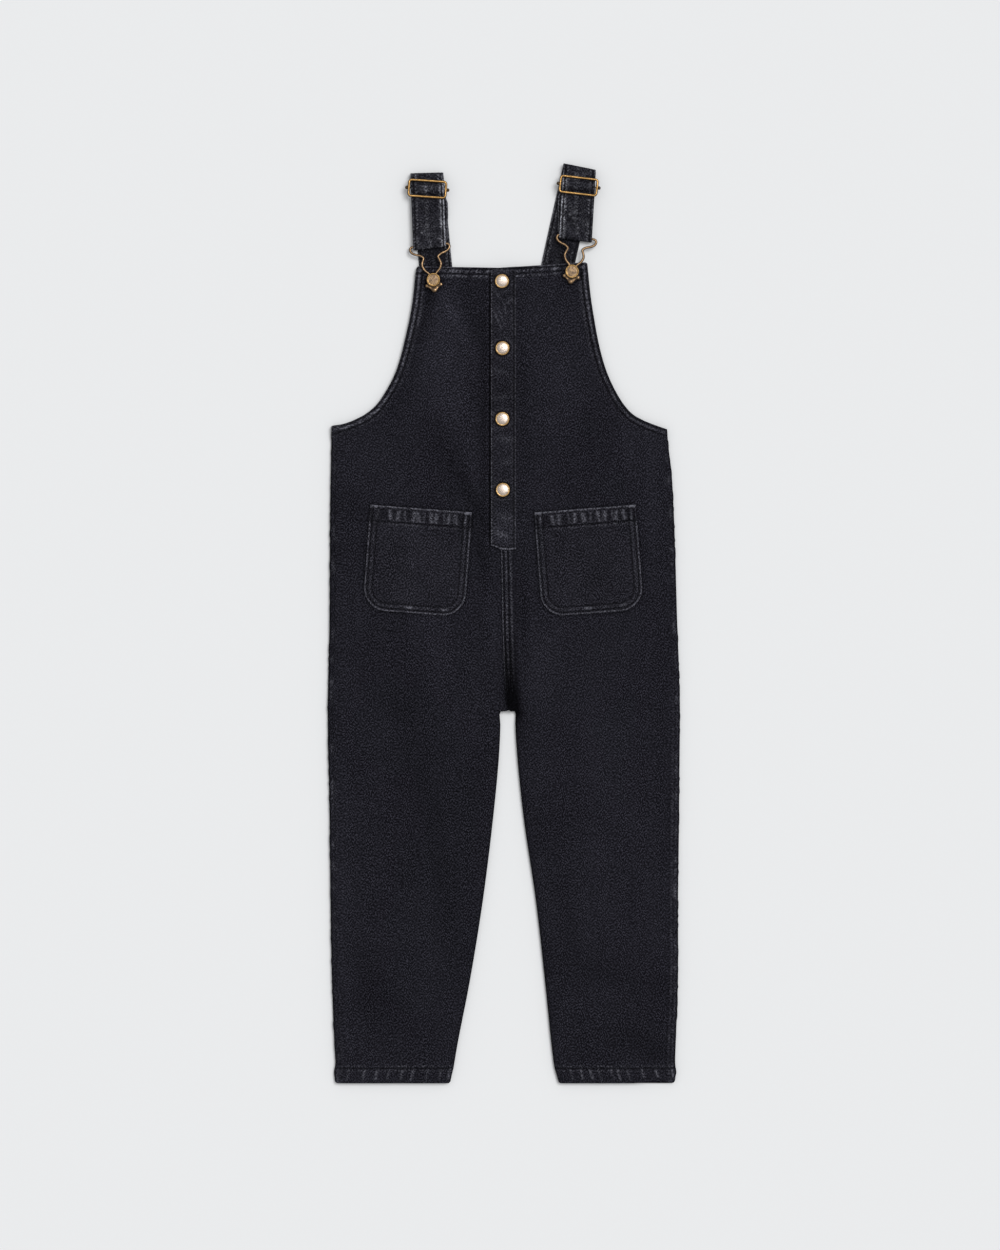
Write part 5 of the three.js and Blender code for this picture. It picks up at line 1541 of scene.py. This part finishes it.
def makeStitchRow():
    # Beside a row of stitches: a groove painted dark, partly kept dye and partly painted shade,
    # pale broken ridges on both sides, and the pinch of each stitch. Row and Run are in mm.
    tree, given, result = newGroup("stitchRow", [("Row", "Float", 9.0), ("Run", "Float", 0.0)],
                                   ["Groove", "Ridge", "Height"])
    place = tree.nodes.new("ShaderNodeCombineXYZ")
    tree.links.new(math2(tree, "MULTIPLY", given["Run"], 0.36), place.inputs[0])
    tree.links.new(math2(tree, "MULTIPLY", given["Row"], 0.30), place.inputs[1])
    broken = stretch(tree, noise(tree, place.outputs[0], 1.0, 1.5, 0.6), 0.42, 0.60)
    leaning = math2(tree, "ADD", given["Run"], math2(tree, "MULTIPLY", given["Row"], 0.55))
    pinch = math2(tree, "SINE", math2(tree, "MULTIPLY", leaning, 6.2832 / 3.2))
    dotted = math2(tree, "ADD", math2(tree, "MULTIPLY", pinch, 0.5), 0.5)
    outside = stretch(tree, given["Row"], 0.7, 1.7)
    inside = math2(tree, "SUBTRACT", 1.0, stretch(tree, given["Row"], 2.5, 3.8))
    ridge = math2(tree, "MULTIPLY", math2(tree, "MULTIPLY", outside, inside),
                  math2(tree, "MULTIPLY", broken, dotted))
    groove = math2(tree, "SUBTRACT", 1.0, stretch(tree, given["Row"], 0.35, 1.25))
    groove = math2(tree, "MULTIPLY", groove,
                   math2(tree, "SUBTRACT", 1.0, math2(tree, "MULTIPLY", dotted, 0.55)))
    tree.links.new(groove, result["Groove"])
    tree.links.new(ridge, result["Ridge"])
    tree.links.new(math2(tree, "SUBTRACT", math2(tree, "MULTIPLY", ridge, 0.8), groove), result["Height"])
    return tree


def makeDepth():
    # Darkens or pales a colour by shares: the wash's tone and painted shade.
    tree, given, result = newGroup("washAndShade",
                                   [("Colour", "Color", (0, 0, 0, 1)), ("Shade", "Float", 0.0),
                                                ("Groove", "Float", 0.0)], [])
    tree.interface.new_socket(name="Shaded", in_out="OUTPUT", socket_type="NodeSocketColor")
    result = tree.nodes["Group Output"].inputs
    share = math2(tree, "ADD", given["Shade"], 1.0)
    share = math2(tree, "MULTIPLY", share,
                  math2(tree, "SUBTRACT", 1.0, math2(tree, "MULTIPLY", given["Groove"], 0.7)))
    scale = tree.nodes.new("ShaderNodeVectorMath")
    scale.operation = "SCALE"
    tree.links.new(given["Colour"], scale.inputs[0])
    tree.links.new(math2(tree, "MAXIMUM", share, 0.06), scale.inputs["Scale"])
    tree.links.new(scale.outputs[0], result["Shaded"])
    return tree


def makePatina():
    # Dark tarnish in patches, with fine scratches.
    tree, given, result = newGroup("patina", [("Place", "Vector", None), ("Size", "Float", 0.003)],
                                   ["Tarnish", "Scratch"])
    perMetre = math2(tree, "DIVIDE", 1.0, given["Size"])
    tree.links.new(stretch(tree, noise(tree, given["Place"], perMetre, 4.0, 0.65), 0.38, 0.66),
                   result["Tarnish"])
    fine = noise(tree, scaled(tree, given["Place"], (1.0, 6.0, 1.0), 0.6),
                 math2(tree, "MULTIPLY", perMetre, 3.0), 2.0, 0.6)
    tree.links.new(stretch(tree, fine, 0.45, 0.7), result["Scratch"])
    return tree


twillWeave, slubGrain, washFade, rubbedEdge = makeTwill(), makeGrain(), makeFade(), makeRub()
stitchRow, washAndShade, patina = makeStitchRow(), makeDepth(), makePatina()


def useGroup(tree, group, **values):
    node = tree.nodes.new("ShaderNodeGroup")
    node.node_tree = group
    for label, value in values.items():
        link(tree, value, node.inputs[label])
    return node.outputs


def mixColour(tree, share, first, second):
    node = tree.nodes.new("ShaderNodeMix")
    node.data_type = "RGBA"
    link(tree, share, node.inputs["Factor"])
    link(tree, first, node.inputs[6])
    link(tree, second, node.inputs[7])
    return node.outputs[2]


def newMaterial(name, look):
    material = bpy.data.materials.new(name)
    material.use_nodes = True
    tree = material.node_tree
    shader = tree.nodes["Principled BSDF"]
    for label, value in look.get("fixed", {}).items():
        shader.inputs[label].default_value = value
    place = tree.nodes.new("ShaderNodeTexCoord").outputs["Object"]
    return material, tree, shader, place


def attribute(tree, name):
    node = tree.nodes.new("ShaderNodeAttribute")
    node.attribute_name = name
    return node.outputs["Fac"]


def denim(name, look):
    material, tree, shader, place = newMaterial(name, look)
    weave = useGroup(tree, twillWeave, Place=place, Pitch=look["pitch"])
    grain = useGroup(tree, slubGrain, Place=place, Size=look["grain"])
    fade = useGroup(tree, washFade, Place=place, Size=look["cloudSize"])
    row = useGroup(tree, stitchRow, Row=attribute(tree, "row"), Run=attribute(tree, "run"))
    ridge = math2(tree, "MULTIPLY", math2(tree, "MULTIPLY", row["Ridge"], attribute(tree, "pull")),
                  look["ridge"])
    kept = math2(tree, "ADD", math2(tree, "MULTIPLY", grain["Fleck"], 1.3), 0.40)
    mark = math2(tree, "ADD", math2(tree, "MULTIPLY", attribute(tree, "wear"), kept), ridge)
    rub = useGroup(tree, rubbedEdge, Mark=mark, Speck=weave["Float"], Amount=look["rub"])["Rub"]
    chance = math2(tree, "POWER", weave["Float"], look["uneven"])
    tone = math2(tree, "MULTIPLY", chance, look["float"])
    tone = math2(tree, "ADD", tone, math2(tree, "MULTIPLY", weave["Lint"], look["lint"]))
    tone = math2(tree, "ADD", tone, math2(tree, "MULTIPLY", grain["Speck"], look["speck"]))
    tone = math2(tree, "ADD", tone, math2(tree, "MULTIPLY", grain["Streak"], look["streak"]))
    tone = math2(tree, "ADD", tone, math2(tree, "MULTIPLY", fade["Cloud"], look["cloud"]))
    colour = mixColour(tree, tone, look["dark"], look["light"])
    colour = mixColour(tree, rub, colour, look["worn"])
    # The grooves of the rows and the shade marks darken the colour: kept dye and wash tone, and painted shade.
    groove = math2(tree, "MULTIPLY", row["Groove"], look["groove"])
    shaded = useGroup(tree, washAndShade, Colour=colour, Shade=attribute(tree, "shade"), Groove=groove)["Shaded"]
    tree.links.new(shaded, shader.inputs["Base Color"])
    rough = math2(tree, "SUBTRACT", 0.96, math2(tree, "MULTIPLY", weave["Height"], 0.12))
    tree.links.new(rough, shader.inputs["Roughness"])
    relief = math2(tree, "ADD", math2(tree, "MULTIPLY", weave["Height"], 0.6),
                   math2(tree, "MULTIPLY", weave["Float"], 0.1))
    relief = math2(tree, "ADD", relief, row["Height"])
    bumpNode = tree.nodes.new("ShaderNodeBump")
    bumpNode.inputs["Distance"].default_value = look["relief"]
    bumpNode.inputs["Strength"].default_value = 0.8
    tree.links.new(relief, bumpNode.inputs["Height"])
    tree.links.new(bumpNode.outputs["Normal"], shader.inputs["Normal"])
    return material


def brass(name, look):
    material, tree, shader, place = newMaterial(name, look)
    old = useGroup(tree, patina, Place=place, Size=look["patch"])
    kept = math2(tree, "SUBTRACT", 1.0, math2(tree, "MULTIPLY", old["Tarnish"], look["tarnish"]))
    bright = math2(tree, "MULTIPLY", attribute(tree, "worn"), kept)
    colour = mixColour(tree, bright, look["dark"], look["base"])
    if "face" in look:
        patches = math2(tree, "MULTIPLY", math2(tree, "MAXIMUM", old["Scratch"], old["Tarnish"]),
                        look["mottle"])
        mottled = mixColour(tree, patches, look["face"], look["faceDark"])
        colour = mixColour(tree, attribute(tree, "face"), colour, mottled)
    tree.links.new(colour, shader.inputs["Base Color"])
    # Where it is painted dark, on its shaded sides and under tarnish, the metal no longer mirrors.
    tree.links.new(stretch(tree, attribute(tree, "worn"), 0.1, 0.6), shader.inputs["Metallic"])
    rough = math2(tree, "ADD", look["rough"], math2(tree, "MULTIPLY", old["Tarnish"], 0.18))
    tree.links.new(rough, shader.inputs["Roughness"])
    bumpNode = tree.nodes.new("ShaderNodeBump")
    bumpNode.inputs["Distance"].default_value = 0.00008
    bumpNode.inputs["Strength"].default_value = 0.5
    tree.links.new(old["Scratch"], bumpNode.inputs["Height"])
    tree.links.new(bumpNode.outputs["Normal"], shader.inputs["Normal"])
    return material


clothLook = {
    "pitch": 0.0010,
    "grain": 0.0013,
    "cloudSize": 0.06,
    "uneven": 2.0,
    "float": 1.0,  # shares of the tone: single floats, lint, specks, streaks and clouds
    "lint": 1.0,
    "speck": 0.05,
    "streak": 0.05,
    "cloud": 0.08,
    "rub": 1.0,
    "ridge": 0.50,
    "groove": 0.60,
    "relief": 0.00035,
    "dark": (0.0008, 0.0008, 0.0014, 1),
    "light": (0.0325, 0.0320, 0.0430, 1),
    "worn": (0.135, 0.135, 0.162, 1),
    "fixed": {"Specular IOR Level": 0.02},
}
wireLook = {
    "base": (0.62, 0.36, 0.125, 1),
    "dark": (0.030, 0.018, 0.009, 1),
    "tarnish": 0.35,
    "patch": 0.0035,
    "rough": 0.30,
    "fixed": {"Specular IOR Level": 0.25},
}


def varied(look, **changes):
    return {**look, **changes}


denims = {
    "rightFront": denim("denim_right_front", clothLook),
    "leftFront": denim("denim_left_front", varied(clothLook, cloudSize=0.066)),
    "back": denim("denim_back", varied(clothLook, cloudSize=0.07, rub=0.8)),
    "placket": denim("denim_placket", varied(clothLook, light=(0.0358, 0.0352, 0.0462, 1))),
    "pocket": denim("denim_pocket", varied(clothLook, light=(0.0385, 0.0378, 0.0496, 1), cloudSize=0.04)),
    "strap": denim("denim_strap", varied(
        clothLook, light=(0.0355, 0.0350, 0.0450, 1), worn=(0.34, 0.345, 0.39, 1), streak=0.10,
        cloudSize=0.02)),
}
threadMaterial = denim("thread_tonal", varied(
    clothLook, dark=(0.004, 0.004, 0.005, 1), light=(0.022, 0.022, 0.027, 1), grain=0.004,
    relief=0.00008, groove=0.0,
    ridge=0.0))
wireMetal = brass("brass_wire", wireLook)
claspMetal = brass("brass_clasp", varied(wireLook, base=(0.58, 0.37, 0.20, 1),
                                         dark=(0.036, 0.022, 0.012, 1), patch=0.0028))
capMetal = brass("brass_cap", varied(
    wireLook, base=(0.56, 0.34, 0.13, 1), face=(0.40, 0.27, 0.15, 1),
    faceDark=(0.065, 0.05, 0.05, 1), mottle=0.85, patch=0.0024))
buttonMetal = brass("button_worn", varied(
    wireLook, base=(0.46, 0.29, 0.12, 1), face=(0.72, 0.62, 0.54, 1),
    faceDark=(0.44, 0.34, 0.27, 1), mottle=0.45,
    rough=0.28))
print("materials ready")


# The pieces

for side in ("right", "left"):
    piece = backPanel(side, denims["back"])
    clothPiece(piece, "back_" + side)

for side in ("right", "left"):
    piece = frontPanel(side, denims[side + "Front"])
    clothPiece(piece, "front_" + side)
print("panels ready")

piece = placketPiece(denims["placket"])
clothPiece(piece, "placket")
stitches("stitch_placket", placketRoutes(), threadMaterial)

for side in ("right", "left"):
    piece = pocketPiece(side, denims["pocket"])
    clothPiece(piece, "pocket_" + side)
    stitches("stitch_pocket_" + side, pocketRoutes(side), threadMaterial)
print("placket and pockets ready")

for side in ("right", "left"):
    piece = strapPiece(side, denims["strap"])
    clothPiece(piece, "strap_" + side)
    stitches("stitch_strap_" + side, strapRoutes(side), threadMaterial)
print("straps ready")

for side in ("right", "left"):
    lay, spot = strapLayout(side), fitting[side]
    x, up = strapPlace(lay, np.array(spot["sliderDown"]), np.array(0.0), np.array(1.0))
    points, faces = joinParts(sliderParts())
    world = turned(points, spot["sliderTurn"], float(x), float(up), sliderLevel)
    # The beads at the bar's ends are dark with tarnish, but for a painted highlight on top.
    dull = 0.9 * smooth(np.abs(points[:, 0]), 17.9, 18.5)
    metalPiece("metal_slider_" + side, "slider_" + side, world, faces, wireMetal,
               dull=dull, bright=(0.74, 0.96))

    bx, bup = spot["button"]
    points, faces = joinParts([claspWire(), claspPlate()])
    world = turned(points, spot["claspTurn"], bx, bup)
    # The plate is painted bright on its lobes and rim only, as highlights; elsewhere it is painted dark, as shade.
    lobes = np.zeros(len(points))
    for lx, ly in ((7.2, -5.0), (-7.2, -5.0), (0.6, -9.9), (-4.4, -7.0), (3.4, -8.0)):
        lobes = np.maximum(lobes, bump(np.hypot(points[:, 0] - lx, points[:, 1] - ly), 0, 1.3))
    onPlate = points[:, 1] < 1.2
    dull = np.where(onPlate, 0.9 * (1 - lobes), 0)
    metalPiece("metal_clasp_" + side, "clasp_" + side, world, faces, claspMetal, dull=dull,
               bright=(0.86, 0.985))

    foot = float(frontFace(side, bx, bup)) + 0.1
    points, faces = latheParts(bibButton["rows"])
    shank = bibButton["headUnder"]
    radius = np.hypot(points[:, 0], points[:, 1])
    face = (1 - smooth(radius, 4.7, 5.1)) * smooth(points[:, 2], 3.6, 4.0)
    points[:, 2] = np.where(points[:, 2] < shank, points[:, 2] / shank * (8.0 - foot),
                            points[:, 2] - shank + 8.0 - foot)
    metalPiece("metal_bib_button_" + side, "bib_button_" + side, turned(points, 0, bx, bup, foot),
               faces,
               capMetal, face=face, bright=(0.60, 0.96))

for number, (bx, bup) in enumerate(frontButton["places"], 1):
    points, faces = latheParts(frontButton["rows"])
    foot = float(placketFace(np.array(float(bx)), np.array(float(bup)))) + 0.1
    radius = np.hypot(points[:, 0], points[:, 1])
    face = (1 - smooth(radius, 5.0, 5.5)) * smooth(points[:, 2], 1.5, 2.2)
    metalPiece("metal_button_%d" % number, "placket_button_%d" % number,
               turned(points, 0.7 * number, bx, bup, foot),
               faces, buttonMetal, face=face)
print("fittings ready")


# Rows of stitches on the panels

def panelRoutes(side):
    def face(x, up):
        return frontFace(side, x, up)

    arm = armhole[side]
    inward = -1 if side == "right" else 1
    routes = []
    for inset in cloth["armholeRows"]:
        routes.append(onFace(insetLine(arm, inset, inward)[1:-2], face))
    edgeX = {"right": (-82.0, -13.5), "left": (78.0, 11.8)}[side]
    for inset in cloth["bibRows"]:
        ends = []
        for x in edgeX:
            ends.append([x, np.interp(x, bibTop[:, 0], bibTop[:, 1]) - inset])
        routes.append(onFace(ends, face))
    sideX = sections[side + "Side"][2] * 0.985
    for level in cloth["hemRows"]:
        centreX = sections[side + "Centre"][2]
        routes.append(onFace([[sideX, level], [centreX + (2 if side == "left" else -2), level]], face))
    if side == "left":
        levels = np.arange(372, 505, 3.0)
        edge = throughRows(edgeRows(sections, "leftCentre", "centreUp"), np.linspace(0, 19, 2000))
        for inset in cloth["seamRows"]:
            x = np.interp(levels, edge[:, 1], edge[:, 0]) + inset
            routes.append(onFace(np.stack([x, levels], -1), face))
    return routes


for side in ("right", "left"):
    stitches("stitch_front_" + side, panelRoutes(side), threadMaterial)
print("stitches ready")


# Floor, light and camera

studio = {
    "floor": (0.80, 0.81, 0.82, 1),
    "sky": (1.0, 1.0, 1.0, 1),
    "skyStrength": 0.52,
    "key": {"from": (0.42, 0.34, 1.0), "spread": 32, "strength": 1.82},
    "frameHeight": 1.1875,
    "cameraHeight": 3.5,
    "aim": (-0.0037, -0.0013),
}

floorMaterial, tree, shader, place = newMaterial("floor_pale",
                                                 {"fixed": {"Roughness": 0.9, "Specular IOR Level": 0.1}})
shade = noise(tree, place, 3.0, 2.0, 0.5)
colour = mixColour(tree, math2(tree, "MULTIPLY", shade, 0.05), studio["floor"], (0.76, 0.77, 0.785, 1))
tree.links.new(colour, shader.inputs["Base Color"])
floor = meshObject("floor", [[-4, -4, -0.0004], [4, -4, -0.0004], [4, 4, -0.0004],
                             [-4, 4, -0.0004]], [[0, 1, 2, 3]],
                   None, floorMaterial, False)

scene = bpy.context.scene
world = bpy.data.worlds.new("studio")
world.use_nodes = True
world.node_tree.nodes["Background"].inputs["Color"].default_value = studio["sky"]
world.node_tree.nodes["Background"].inputs["Strength"].default_value = studio["skyStrength"]
scene.world = world

key = bpy.data.lights.new("key", "SUN")
key.energy = studio["key"]["strength"]
key.angle = math.radians(studio["key"]["spread"])
keyLamp = bpy.data.objects.new("key", key)
keyLamp.location = [3 * v for v in studio["key"]["from"]]
scene.collection.objects.link(keyLamp)
bpy.context.view_layer.update()
keyLamp.rotation_euler = (-keyLamp.location).to_track_quat("-Z", "Y").to_euler()

camera = bpy.data.cameras.new("camera")
camera.sensor_fit = "VERTICAL"
camera.sensor_height = 24.0
camera.lens = 24.0 * studio["cameraHeight"] / studio["frameHeight"]
camera.clip_end = 20.0
cameraObject = bpy.data.objects.new("camera", camera)
cameraObject.location = (*studio["aim"], studio["cameraHeight"])
scene.collection.objects.link(cameraObject)
scene.camera = cameraObject
scene.view_settings.view_transform = "Standard"
print("studio ready")

bpy.context.view_layer.update()
